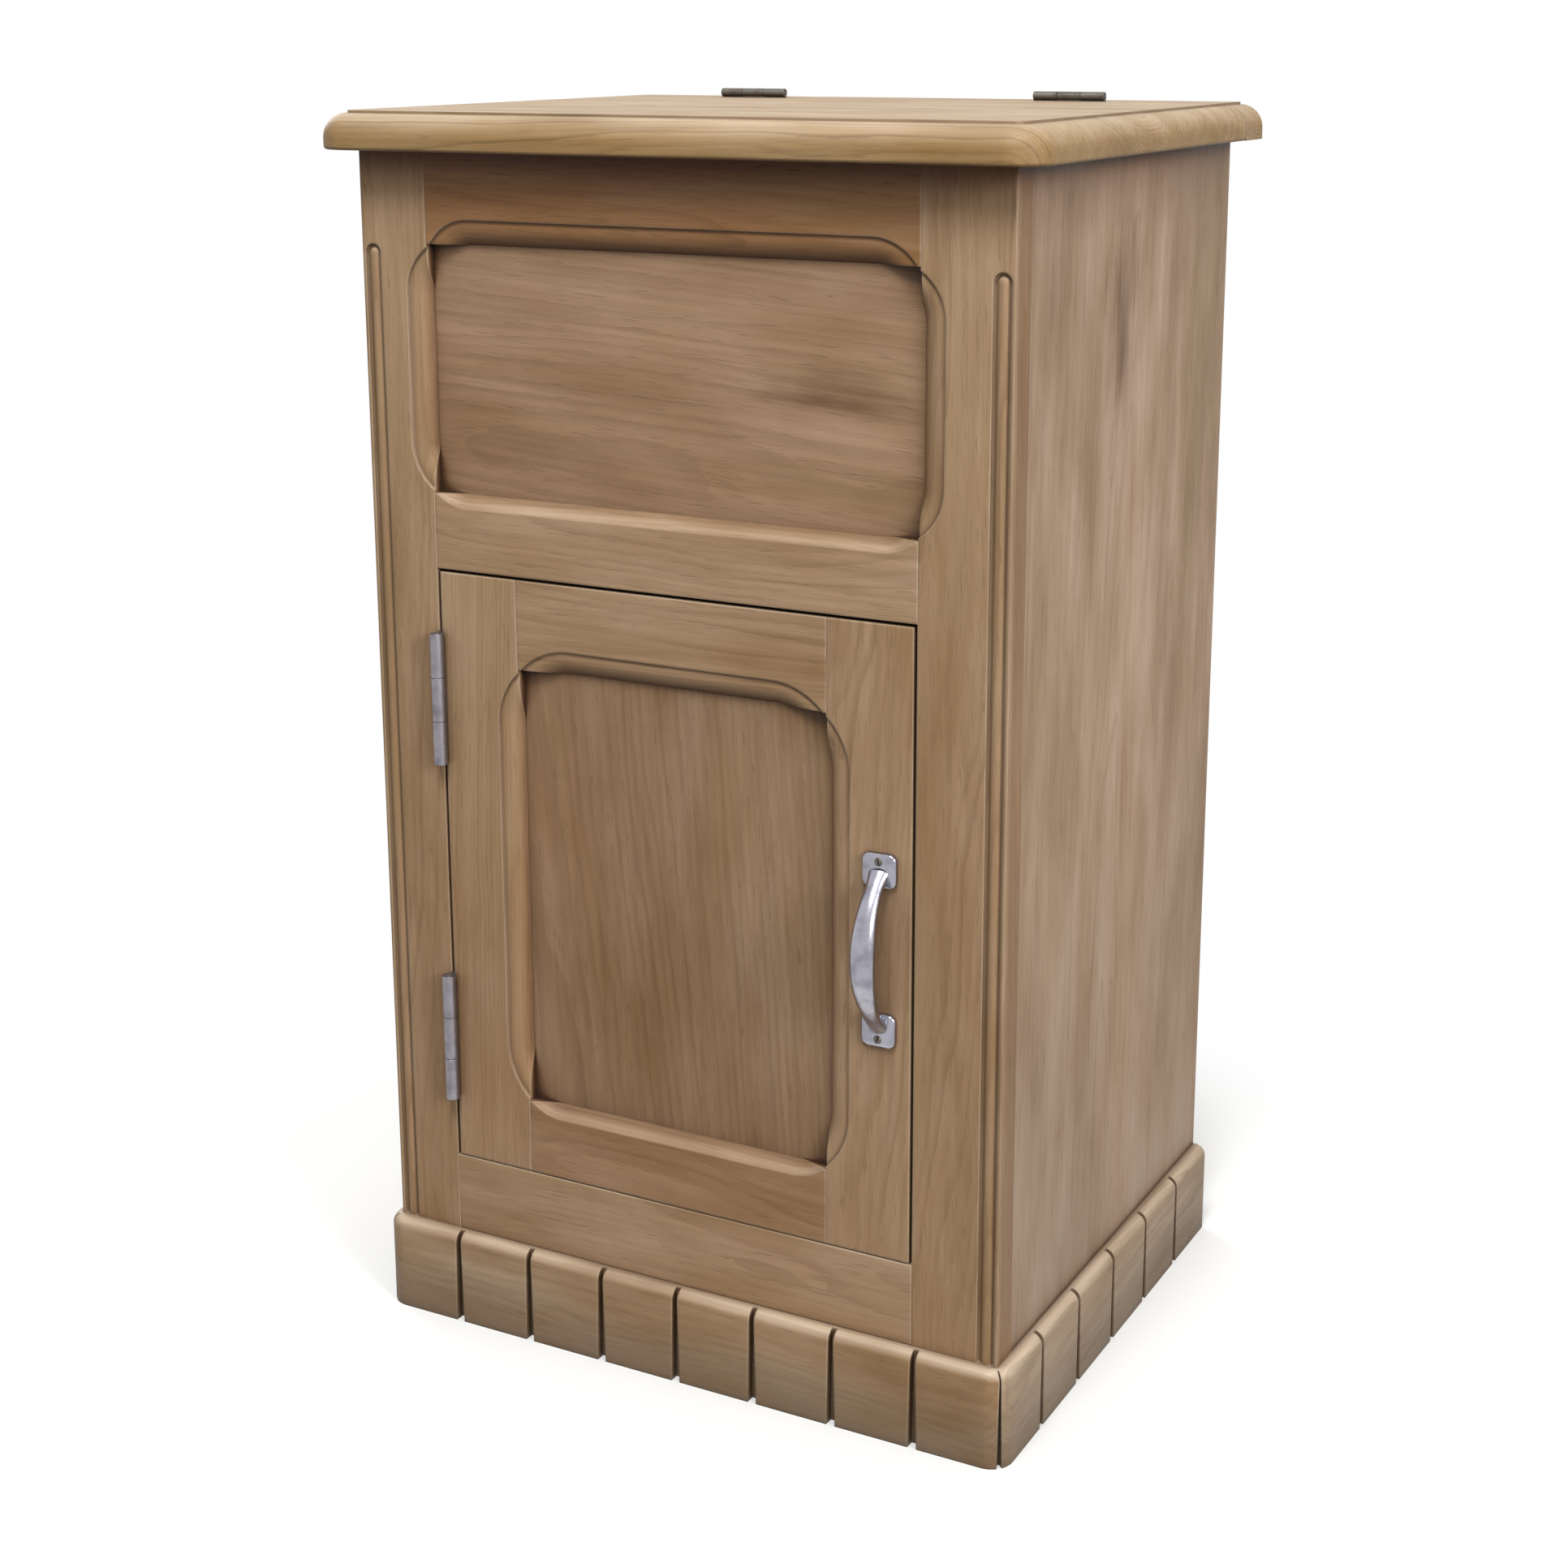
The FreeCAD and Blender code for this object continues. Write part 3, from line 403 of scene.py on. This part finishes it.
# waxed oak gives the eye a mid brown with fine dark dashes and a low sheen; bare pine is paler and plainer
def board_finish(node, grain, face, tone, pith=70, ring=RING, tilt=2.2, mark=NO_MARK, soiling=FULL_DIRT_AND_SHADE,
                 moulded=0.0, ring_depth=0.42, mottle=1.2, top_wear=0.7, scuff=(0.0, 100)):
    """Dresses a board, by the axes of its grain and its wide face, with the pith so many mm behind that."""
    luck = random.Random(node)
    low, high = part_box(node)
    turn = Euler(TURNS[grain])
    turn.x += math.radians(luck.uniform(0.4, 1) * luck.choice((-tilt, tilt)))
    turn.y += math.radians(luck.uniform(0.4, 1) * luck.choice((-tilt, tilt)))
    from_pith = Vector([luck.uniform(-PITH_ASIDE, PITH_ASIDE) for _ in range(3)])
    from_pith["XYZ".index(face)] = luck.choice((-1, 1)) * luck.uniform(0.8, 1.25) * pith
    from_pith["XYZ".index(grain)] = luck.uniform(-TRUNK, TRUNK)
    shift = turn.to_matrix() @ (from_pith * MM - (low + high) / 2)

    bare = tone == "inside"
    material = bpy.data.materials.new(("bare_pine_" if bare else "waxed_oak_") + node)
    tree = emptied(material)
    light, dark = TONES[tone]
    spot, size, depth = mark
    board = add(tree, "Group", node_tree=figure)
    for key, value in {
        "Turn": tuple(turn), "Shift": tuple(shift), "Light wood": linear(light), "Dark wood": linear(dark),
        "Ring width": ring, "Ring depth": ring_depth, "Pore depth": PINE_PORES if bare else OAK_PORES,
        "Mark place": [v * MM for v in spot], "Mark size": [v * MM for v in size], "Mark depth": depth,
        "Soiling": soiling, "Moulded": moulded, "Mottle": mottle, "Top wear": top_wear,
        "Scuff": scuff[0], "Scuff height": scuff[1] * MM,
    }.items():
        board.inputs[key].default_value = value
    relief = add(tree, "Bump", {
        "Strength": RELIEF_STRENGTH, "Distance": RELIEF,
        "Height": board.outputs["Height"], "Normal": board.outputs["Eased"],
    })
    shader = add(tree, "BsdfPrincipled", {
        "Base Color": board.outputs["Colour"], "Roughness": board.outputs["Roughness"],
        "Normal": relief, "IOR": WAX_IOR, "Specular IOR Level": WAX_SHEEN,
    })
    add(tree, "OutputMaterial", {"Surface": shader})
    dress(node, material)
    finished_boards.append(node)


print("one finish per board, with relief of", round(RELIEF / MM, 1), "mm")

# %% [markdown]
# ## The front frame and its panels
# Posts and stiles have upright grain and rails have level grain, because a frame is strong along its grain.
# The panels are sawn nearer to the pith, with wider rings, so their faces show arches. The upper panel has a
# dark smudge at its right, given here as its place, its reach and its depth.

# %% Frame and panels
PANEL_RING = 5 * MM
smudge = ((94, -144, 602), (64, 30, 15), 0.82)
for node in ("front_post_left", "front_post_right", "door_stile_left", "door_stile_right"):
    board_finish(node, "Z", "Y", "front", pith=110, moulded=1.0)
for node, tone in (
    ("top_rail", "top_rail"), ("middle_rail", "middle_rail"), ("bottom_rail", "front"),
    ("door_rail_top", "front"), ("door_rail_bottom", "door_foot"),
):
    board_finish(node, "X", "Y", tone, pith=120, moulded=1.0)
board_finish("upper_panel", "X", "Y", "upper_panel", pith=55, ring=PANEL_RING, tilt=5, mark=smudge,
             ring_depth=0.32)
board_finish("door_panel", "Z", "Y", "door_panel", pith=60, ring=PANEL_RING, tilt=4, ring_depth=0.34,
             mottle=1.3)
print("boards finished so far:", len(finished_boards))

# %% [markdown]
# ## Sides, top and plinth
# The sides are wide and blotchy, and scuffed towards the floor. The right one has a dark streak near its top.
# The lid takes little dirt and painted shade, so its rings show clearly. The plinth takes the kicks: its
# upper edge is rubbed pale, with a painted highlight along it, and its foot is grey. One set of wear serves
# both sides and another one the plinth, so that boards that stood alike also age alike.

# %% Sides, top and plinth
knot_shade = ((206, 4, 622), (30, 27, 64), 0.74)
side_wear = {"pith": 90, "mottle": 1.9, "scuff": (0.35, 380)}
# the plinth's upper edge gets a strong pale band: partly wear, partly painted highlight
plinth_wear = {"pith": 90, "soiling": 0.4, "mottle": 1.9, "top_wear": 1.4, "scuff": (0.6, 45)}
board_finish("side_board_left", "Z", "X", "side", **side_wear)
board_finish("side_board_right", "Z", "X", "side", mark=knot_shade, **side_wear)
for node in ("lid", "rear_top_strip"):
    board_finish(node, "X", "Z", "top", pith=90, soiling=0.35, ring_depth=0.65)
board_finish("plinth_front", "X", "Y", "plinth", **plinth_wear)
for node in ("plinth_left", "plinth_right"):
    board_finish(node, "Y", "X", "plinth_side", **plinth_wear)
print("boards finished so far:", len(finished_boards))

# %% [markdown]
# ## Boards out of sight
# Makers kept the good wood for the outside. The back, the floors, the cleats, the back of the plinth and the
# door stop are pine, left bare, with wide soft rings and almost no pores. Pine could have a group of its own,
# but the shared one serves with a paler pair of tones and shallow pores.

# %% Back, floors and cleats
PINE_RING = 4.5 * MM
for node in nodes:
    if node.startswith("back_board"):
        board_finish(node, "Z", "Y", "inside", pith=60, ring=PINE_RING, mottle=0.8)
    elif node.endswith("_floor"):
        board_finish(node, "X", "Z", "inside", pith=70, ring=PINE_RING, mottle=0.8)
    elif "cleat" in node:
        board_finish(node, "Y", "X", "inside", pith=60, ring=PINE_RING)
for node in ("plinth_back", "door_stop"):
    board_finish(node, "X", "Y", "inside", pith=80, ring=PINE_RING, soiling=0.5)
print("boards finished in all:", len(finished_boards))

# %% [markdown]
# ## The metal fittings
# The handle is cast metal under nickel plate, the hinges are rolled steel, and the catch is brass.
# A metal is all reflection, so a flat colour would look like grey paint. What tells metals apart is how rough
# they are and what breaks up the reflection: clouds of tarnish, dull corners and fine rubbing lines.
# One function makes them all from those.

# %% A metal finish
TARNISH_CLOUD = 9 * MM
RUB_ACROSS, RUB_ALONG = 0.5 * MM, 9 * MM   # real rubbing lines are far finer: drawn coarser so that they show
RUB_DEPTH = 0.05 * MM
DULL_CORNER = 4 * MM
METAL_EDGE = 0.5 * MM
RUB_STRENGTH, PATINA = 0.12, 0.5


def metal_finish(name, colour, tarnish, rough, spread):
    """A bare or plated metal: its colour, its tarnish, and its roughness with the spread either way."""
    material = bpy.data.materials.new(name)
    tree = emptied(material)
    spot = add(tree, "TexCoord").outputs["Object"]
    cloud = add(tree, "TexNoise", {"Vector": spot, "Scale": 1 / TARNISH_CLOUD, "Detail": 6.0})
    cloud = add(tree, "MapRange", {0: cloud, 1: 0.42, 2: 0.68, 3: 0.0, 4: PATINA})
    lines = stretched_noise(tree, spot, RUB_ACROSS, RUB_ALONG, 2.0)
    corner = add(tree, "AmbientOcclusion", {"Distance": DULL_CORNER}, samples=8).outputs["AO"]
    corner = add(tree, "MapRange", {0: corner, 1: 0.8, 2: 0.3, 3: 0.0, 4: 0.7})
    aged = add(tree, "Math", {0: cloud, 1: corner}, operation="MAXIMUM")
    skin = add(tree, "Mix", {"Factor": aged, 6: linear(colour), 7: linear(tarnish)}, data_type="RGBA")
    sheen = add(tree, "MapRange", {0: lines, 1: 0.3, 2: 0.7, 3: rough - spread, 4: rough + spread})
    sheen = add(tree, "Math", {0: aged, 1: 0.25, 2: sheen}, operation="MULTIPLY_ADD")
    eased_edge = add(tree, "Bevel", {"Radius": METAL_EDGE}, samples=4)
    relief = add(tree, "Bump", {
        "Strength": RUB_STRENGTH, "Distance": RUB_DEPTH, "Height": lines, "Normal": eased_edge,
    })
    shader = add(tree, "BsdfPrincipled", {
        "Base Color": skin, "Metallic": 1.0, "Roughness": sheen, "Normal": relief,
    })
    add(tree, "OutputMaterial", {"Surface": shader})
    return material


print("tarnish clouds about", round(TARNISH_CLOUD / MM), "mm wide")

# %% Metals on the fittings
# polished nickel plate: bright and cool, with clear reflections
polished_nickel = metal_finish("polished_nickel_plate", "#a9a8b2", "#62606a", 0.20, 0.06)
# rolled steel gone grey with age: a dull, broad shine
rolled_steel = metal_finish("aged_rolled_steel", "#928e94", "#5a5456", 0.40, 0.10)
# browned steel: dark, warm and nearly matt
browned_steel = metal_finish("browned_rolled_steel", "#6f6a63", "#43382d", 0.50, 0.10)
# satin brass: a soft yellow shine
satin_brass = metal_finish("satin_brass", "#c29a55", "#7d6134", 0.35, 0.08)
for start, metal in (
    ("door_hinge", rolled_steel), ("lid_hinge", browned_steel), ("door_catch", satin_brass),
    ("strike_plate", satin_brass), ("door_handle", polished_nickel),
):
    fittings = [node for node in nodes if node.startswith(start)]
    for node in fittings:
        dress(node, metal)
    print(start, "in", metal.name + ":", len(fittings))

# %% [markdown]
# ## The bow handle
# The real handle is one casting: two screwed lugs, and between them a grip that swells in the middle.
# A curve with a bevel would sweep one section at one size. Here the grip is a row of oval sections along the
# same arc as in the construction model, slim near the lugs and flared where they meet, as a casting is.
# The new mesh then stands in for the plain handle.

# %% Helpers for meshes
SHARP_FROM = math.radians(40)


def skin_sections(bm, sections):
    """Joins closed sections of points with faces, and closes both ends."""
    previous = None
    for section in sections:
        ring = [bm.verts.new(point) for point in section]
        if previous is None:
            bm.faces.new(ring)
        else:
            for k in range(len(ring)):
                after = (k + 1) % len(ring)
                bm.faces.new((previous[k], previous[after], ring[after], ring[k]))
        previous = ring
    bm.faces.new(previous)


def mesh_object(name, build, material, body):
    """A mesh made by a function on a bmesh, with a material, carried by one body."""
    mesh = bpy.data.meshes.new(name)
    bm = bmesh.new()
    build(bm)
    bmesh.ops.recalc_face_normals(bm, faces=bm.faces)
    bm.to_mesh(mesh)
    bm.free()
    for face in mesh.polygons:
        face.use_smooth = True
    mesh.set_sharp_from_angle(angle=SHARP_FROM)
    mesh.materials.append(material)
    made = bpy.data.objects.new(name, mesh)
    bpy.context.scene.collection.objects.link(made)
    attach(made, body)
    return made


print("edges stay sharp from", round(math.degrees(SHARP_FROM)), "degrees")

# %% The grip
handle_low, handle_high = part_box("door_handle")
handle_x = (handle_low.x + handle_high.x) / 2
handle_z = (handle_low.z + handle_high.z) / 2
half_length = (handle_high.z - handle_low.z) / 2
door_face = handle_high.y
reach = handle_high.y - handle_low.y
LUG_TALL, LUG_THICK = 20 * MM, 3 * MM
GRIP = 5.2 * MM                        # half the grip's depth in the middle
GRIP_WIDER = 1.45                      # its width over its depth
FOOT_IN_LUG = 7.5 * MM                 # how far the grip's axis runs on over a lug
WAIST, SWELL, SWELL_END = 0.70, 0.30, 0.82
FLARE, FLARE_START, FLARE_SPAN = 0.20, 0.80, 0.20
SECTIONS, AROUND = 57, 28


def grip_sections():
    """Oval sections along the bow's arc, each with its share of the full size."""
    foot = half_length - LUG_TALL + FOOT_IN_LUG
    rise = reach - GRIP - LUG_THICK / 2
    arc = (foot ** 2 + rise ** 2) / (2 * rise)
    centre_y = door_face - LUG_THICK / 2 - rise + arc
    widest = math.asin(foot / arc)
    for i in range(SECTIONS):
        t = 2 * i / (SECTIONS - 1) - 1
        angle = widest * t
        share = WAIST + SWELL * math.cos(min(abs(t) / SWELL_END, 1) * math.pi / 2) ** 1.3
        share += FLARE * max(0.0, (abs(t) - FLARE_START) / FLARE_SPAN) ** 2
        middle = Vector((handle_x, centre_y - arc * math.cos(angle), handle_z + arc * math.sin(angle)))
        outward = Vector((0, -math.cos(angle), math.sin(angle)))
        section = []
        for k in range(AROUND):
            a = 2 * math.pi * k / AROUND
            side = Vector((math.cos(a) * GRIP * share * GRIP_WIDER, 0, 0))
            section.append(middle + side + outward * (math.sin(a) * GRIP * share))
        yield section


print("handle", round(2 * half_length / MM), "mm long, standing", round(reach / MM), "mm off the door")

# %% [markdown]
# ## The lugs
# Each lug is a small plate with rounded corners, a rolled edge and a slightly crowned face, cast in one with
# the grip. A cube with a bevel would have no crown. So the plate is a stack of rounded outlines,
# each as far in and as high as the profile of the lug says.

# %% The lugs and the whole handle
LUG_CORNER, LEAST_CORNER = 4.5 * MM, 0.8 * MM
LUG_PROFILE = ((0.0, 0.0), (0.0, 0.55), (0.35, 0.82), (1.0, 0.97), (3.5, 1.0))   # mm in, share of thickness
CORNERS = ((1, 1, 0), (-1, 1, 90), (-1, -1, 180), (1, -1, 270))   # which way, and where its arc starts
CORNER_STEPS, STEP_DEGREES = 7, 15


def lug_sections(way):
    """Rounded outlines of one lug, from the door up to its crown."""
    wide = (handle_high.x - handle_low.x) / 2
    tall = LUG_TALL / 2
    centre = Vector((handle_x, door_face, handle_z + way * (half_length - tall)))
    for inset, lift in LUG_PROFILE:
        radius = max(LUG_CORNER - inset * MM, LEAST_CORNER)
        section = []
        for cx, cz, start in CORNERS:
            for step in range(CORNER_STEPS):
                a = math.radians(start + STEP_DEGREES * step)
                x = cx * (wide - LUG_CORNER) + math.cos(a) * radius
                z = cz * (tall - LUG_CORNER) + math.sin(a) * radius
                section.append(centre + Vector((x, -LUG_THICK * lift, z)))
        yield section


def bow_handle(bm):
    """The grip and both lugs."""
    skin_sections(bm, grip_sections())
    for way in (-1, 1):
        skin_sections(bm, lug_sections(way))


handle = mesh_object("cast_bow_handle", bow_handle, polished_nickel, "door")
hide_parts("door_handle")
print("handle:", len(handle.data.polygons), "faces")

# %% [markdown]
# ## Slotted screws
# Each lug is held by one slotted screw of browned steel. A slot cut with a boolean leaves untidy faces on so
# small a disc. So a head is built as two half-moons with a slot left open between them, on a disc.
# The two slots point different ways, as they do when each screw is simply driven home.

# %% Screws in the lugs
LUG_SCREW, LUG_SCREW_PROUD = 2.5 * MM, 0.6 * MM   # radius of a head, and how far it stands out
LUG_SCREW_INSET = 4.7 * MM           # from the end of the handle
SLOT_SHARE, TOP_SHARE = 0.16, 0.86   # half the slot's width and the top's radius, over the head's radius
HALF_MOON = 16


def slotted_head(bm, centre, normal, radius, proud, turn):
    """A screw head: a disc, and on it two half-moons that leave the slot open between them."""
    side = Matrix.Rotation(turn, 3, normal) @ normal.orthogonal().normalized()
    up = normal.cross(side)
    gap = radius * SLOT_SHARE
    first = math.asin(gap / radius)
    turns = [2 * math.pi * k / (2 * HALF_MOON) for k in range(2 * HALF_MOON)]
    bm.faces.new([bm.verts.new(centre + (side * math.cos(a) + up * math.sin(a)) * radius) for a in turns])
    angles = [first + (math.pi - 2 * first) * k / HALF_MOON for k in range(HALF_MOON + 1)]
    for way in (-1, 1):
        low = [centre + side * math.cos(a) * radius + up * (way * math.sin(a) * radius) for a in angles]
        high = [centre + normal * proud + side * math.cos(a) * radius * TOP_SHARE
                + up * (way * (gap + (math.sin(a) * radius - gap) * TOP_SHARE)) for a in angles]
        low = [bm.verts.new(point) for point in low]
        high = [bm.verts.new(point) for point in high]
        bm.faces.new(high)
        for k in range(HALF_MOON):
            bm.faces.new((low[k], low[k + 1], high[k + 1], high[k]))
        bm.faces.new((low[-1], low[0], high[0], high[-1]))


def lug_screws(bm):
    """One screw in each lug, near its outer end."""
    for way, turn in ((-1, 0.5), (1, 1.1)):
        height = handle_z + way * (half_length - LUG_SCREW_INSET)
        centre = Vector((handle_x, door_face - LUG_THICK, height))
        slotted_head(bm, centre, Vector((0, -1, 0)), LUG_SCREW, LUG_SCREW_PROUD, turn)


screws = mesh_object("slotted_lug_screws", lug_screws, browned_steel, "door")
print("lug screws:", len(screws.data.polygons), "faces")

# %% [markdown]
# ## Screws in the hinges
# Each hinge leaf is held by a row of countersunk screws, filed flush, that only show when the hinge opens.
# They could be drawn on the leaf as a pattern, but then the slots would catch no light. The same heads serve
# here, nearly flush, and each row rides with the body of its own leaf, so it stays put at every pose.

# %% Screws in the hinge leaves
LEAF_SCREW, LEAF_SCREW_PROUD = 3.0 * MM, 0.03 * MM
LEAF_SKIN = 0.05 * MM     # from the hinge's own plane to the inner face of a leaf
ROW_INSET = 6 * MM        # from the leaf's free edge to its row of screws
DOOR_ROW_END, LID_ROW_END = 12 * MM, 10 * MM   # from the end of a leaf to its first screw
hinge = {joint["name"]: joint["pos_m"] for joint in frame["joints"]}


def leaf_screws(node, body, metal, row, normal, along, count, row_end):
    """Screws in one hinge leaf, in a row along one axis, carried by the leaf's body."""
    low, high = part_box(node)
    axis = "XYZ".index(along)

    def build(bm):
        luck = random.Random(node)
        for i in range(count):
            centre = row.copy()
            centre[axis] = low[axis] + row_end + (high[axis] - low[axis] - 2 * row_end) * i / (count - 1)
            slotted_head(bm, centre, normal, LEAF_SCREW, LEAF_SCREW_PROUD, luck.uniform(0, 3))

    made = mesh_object(node + "_screws", build, metal, body)
    print(made.name + ":", count)


for word in ("upper", "lower"):
    for leaf, body, way in (("post_leaf", "carcase", -1), ("door_leaf", "door", 1)):
        node = "door_hinge_" + word + "_" + leaf
        row = Vector((hinge["door_hinge"][0] + way * LEAF_SKIN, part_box(node)[1].y - ROW_INSET, 0))
        leaf_screws(node, body, rolled_steel, row, Vector((-way, 0, 0)), "Z", 3, DOOR_ROW_END)
for word in ("left", "right"):
    for leaf, body, way in (("strip_leaf", "carcase", 1), ("lid_leaf", "lid", -1)):
        node = "lid_hinge_" + word + "_" + leaf
        row = Vector((0, hinge["lid_hinge"][1] + way * LEAF_SKIN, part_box(node)[0].z + ROW_INSET))
        leaf_screws(node, body, browned_steel, row, Vector((0, -way, 0)), "X", 2, LID_ROW_END)

# %% [markdown]
# ## Floor
# The cabinet stands on a sheet of white paper. White paper under strong light would throw that light back up
# on the plinth, so the floor has two faces. What the camera and reflections see is paper that fades to pure
# white away from the cabinet, with a soft shade where it stands. Bounced light meets a mid grey.
# The Light Path node tells which ray is asking.

# %% Paper floor
FLOOR_HALF = 6.0
FADE_START, FADE_END = 0.28, 0.52   # metres from the middle of the cabinet
CONTACT_REACH = 160 * MM


def seen_rays(tree):
    """One for rays that see a thing, straight, mirrored or through glass, and zero for bounced light."""
    path = add(tree, "LightPath").outputs
    seen = add(tree, "Math", {0: path["Is Camera Ray"], 1: path["Is Glossy Ray"]}, operation="MAXIMUM")
    return add(tree, "Math", {0: seen, 1: path["Is Transmission Ray"]}, operation="MAXIMUM")


floor_mesh = bpy.data.meshes.new("studio_floor")
corners = [(x * FLOOR_HALF, y * FLOOR_HALF, 0) for x, y in ((-1, -1), (1, -1), (1, 1), (-1, 1))]
floor_mesh.from_pydata(corners, [], [(0, 1, 2, 3)])
floor = bpy.data.objects.new("studio_floor", floor_mesh)
bpy.context.scene.collection.objects.link(floor)
# matt white paper: no shine, and a grey shade close to what stands on it
paper = bpy.data.materials.new("white_studio_paper")
tree = emptied(paper)
from_middle = add(tree, "VectorMath", {0: add(tree, "TexCoord").outputs["Object"]}, operation="LENGTH")
fade = add(tree, "MapRange", {0: from_middle, 1: FADE_START, 2: FADE_END}, interpolation_type="SMOOTHSTEP")
bounce = add(tree, "BsdfDiffuse", {"Color": linear("#76736e")})
sheet = add(tree, "BsdfDiffuse", {"Color": linear("#f4f4f2")})
glow = add(tree, "Emission", {"Color": linear("#ffffff"), "Strength": 1.0})
paper_seen = add(tree, "MixShader", {0: fade, 1: sheet, 2: glow})
contact = add(tree, "AmbientOcclusion", {"Distance": CONTACT_REACH}, samples=8).outputs["AO"]
contact = add(tree, "MapRange", {0: contact, 1: 0.97, 2: 0.5, 3: 0.0, 4: 0.45})
contact_shade = add(tree, "Emission", {"Color": linear("#cfcfcd"), "Strength": 1.0})
paper_seen = add(tree, "MixShader", {0: contact, 1: paper_seen, 2: contact_shade})
both = add(tree, "MixShader", {0: seen_rays(tree), 1: bounce, 2: paper_seen})
add(tree, "OutputMaterial", {"Surface": both})
floor_mesh.materials.append(paper)
print("floor fades to white from", FADE_START, "to", FADE_END, "m")

# %% [markdown]
# ## World
# The world stands for the white room around the cabinet. A bright one would light all sides alike and leave
# no shape. So it is full white only for the rays that see it, and lights the cabinet softly,
# which leaves the shaping to the lamps.

# %% World
WORLD_LIGHT = 0.32
world = bpy.data.worlds.new("studio_world")
bpy.context.scene.world = world
tree = emptied(world)
soft = add(tree, "Background", {"Color": linear("#ffffff"), "Strength": WORLD_LIGHT})
white = add(tree, "Background", {"Color": linear("#ffffff"), "Strength": 1.0})
both = add(tree, "MixShader", {0: seen_rays(tree), 1: soft, 2: white})
add(tree, "OutputWorld", {"Surface": both})
print("world light", WORLD_LIGHT)

# %% [markdown]
# ## Lamps
# Small lamps would give hard shadows, and a sun lamp would light the floor as much as the front. Three large
# discs give soft edges to every shade. One at the right lights the side, and one above and in front lets the
# lid throw a shade on the top rail. A weaker one behind at the left lifts the far edges.

# %% Lamps
LAMP_AIM = Vector((0, 0, 0.4))
LAMPS = (   # name, place in metres, width in metres, watts
    ("lamp_right", (4.0, -1.9, 2.1), 1.9, 175),
    ("lamp_above", (0.5, -2.2, 4.2), 1.6, 180),
    ("lamp_back", (-3.4, 1.8, 2.2), 1.8, 55),
)
for name, spot, width, watts in LAMPS:
    lamp = bpy.data.lights.new(name, "AREA")
    lamp.shape, lamp.size, lamp.energy = "DISK", width, watts
    item = bpy.data.objects.new(name, lamp)
    item.location = spot
    item.rotation_mode = "QUATERNION"
    item.rotation_quaternion = (Vector(spot) - LAMP_AIM).to_track_quat("Z", "Y")
    bpy.context.scene.collection.objects.link(item)
    print(name, watts, "W")

# %% [markdown]
# ## The camera
# The camera's place, turn and lens were solved from the straight edges of the cabinet, because turning it
# by eye never brings all the edges in line at once. It looks down a little from the right, and its frame is
# shifted, because the lens's axis meets the picture above its middle.

# %% Camera
FRAME_PIXELS = 1932
FOCAL_PIXELS = 3109.3
AXIS_ROW_PIXELS = 773
EYE = Vector((710.0, -1341.0, 798.4)) * MM
YAW, PITCH, ROLL = 0.4928, 0.2355, 0.0034
forward = Vector((-math.sin(YAW) * math.cos(PITCH), math.cos(YAW) * math.cos(PITCH), -math.sin(PITCH)))
level = Vector((math.cos(YAW), math.sin(YAW), 0))
steep = forward.cross(level)
right = level * math.cos(ROLL) + steep * math.sin(ROLL)
down = steep * math.cos(ROLL) - level * math.sin(ROLL)

lens = bpy.data.cameras.new("photo_camera")
lens.sensor_width = 36.0
lens.sensor_fit = "HORIZONTAL"
lens.lens = FOCAL_PIXELS / FRAME_PIXELS * lens.sensor_width
lens.shift_y = (AXIS_ROW_PIXELS - FRAME_PIXELS / 2) / FRAME_PIXELS
lens.clip_start, lens.clip_end = 0.05, 50
camera = bpy.data.objects.new("photo_camera", lens)
turn = Matrix((right, -down, -forward)).transposed()
camera.matrix_world = Matrix.Translation(EYE) @ turn.to_4x4()
bpy.context.scene.collection.objects.link(camera)
bpy.context.scene.camera = camera
bpy.context.scene.view_settings.view_transform = "Standard"
print("lens", round(lens.lens, 1), "mm, shift", round(lens.shift_y, 3))
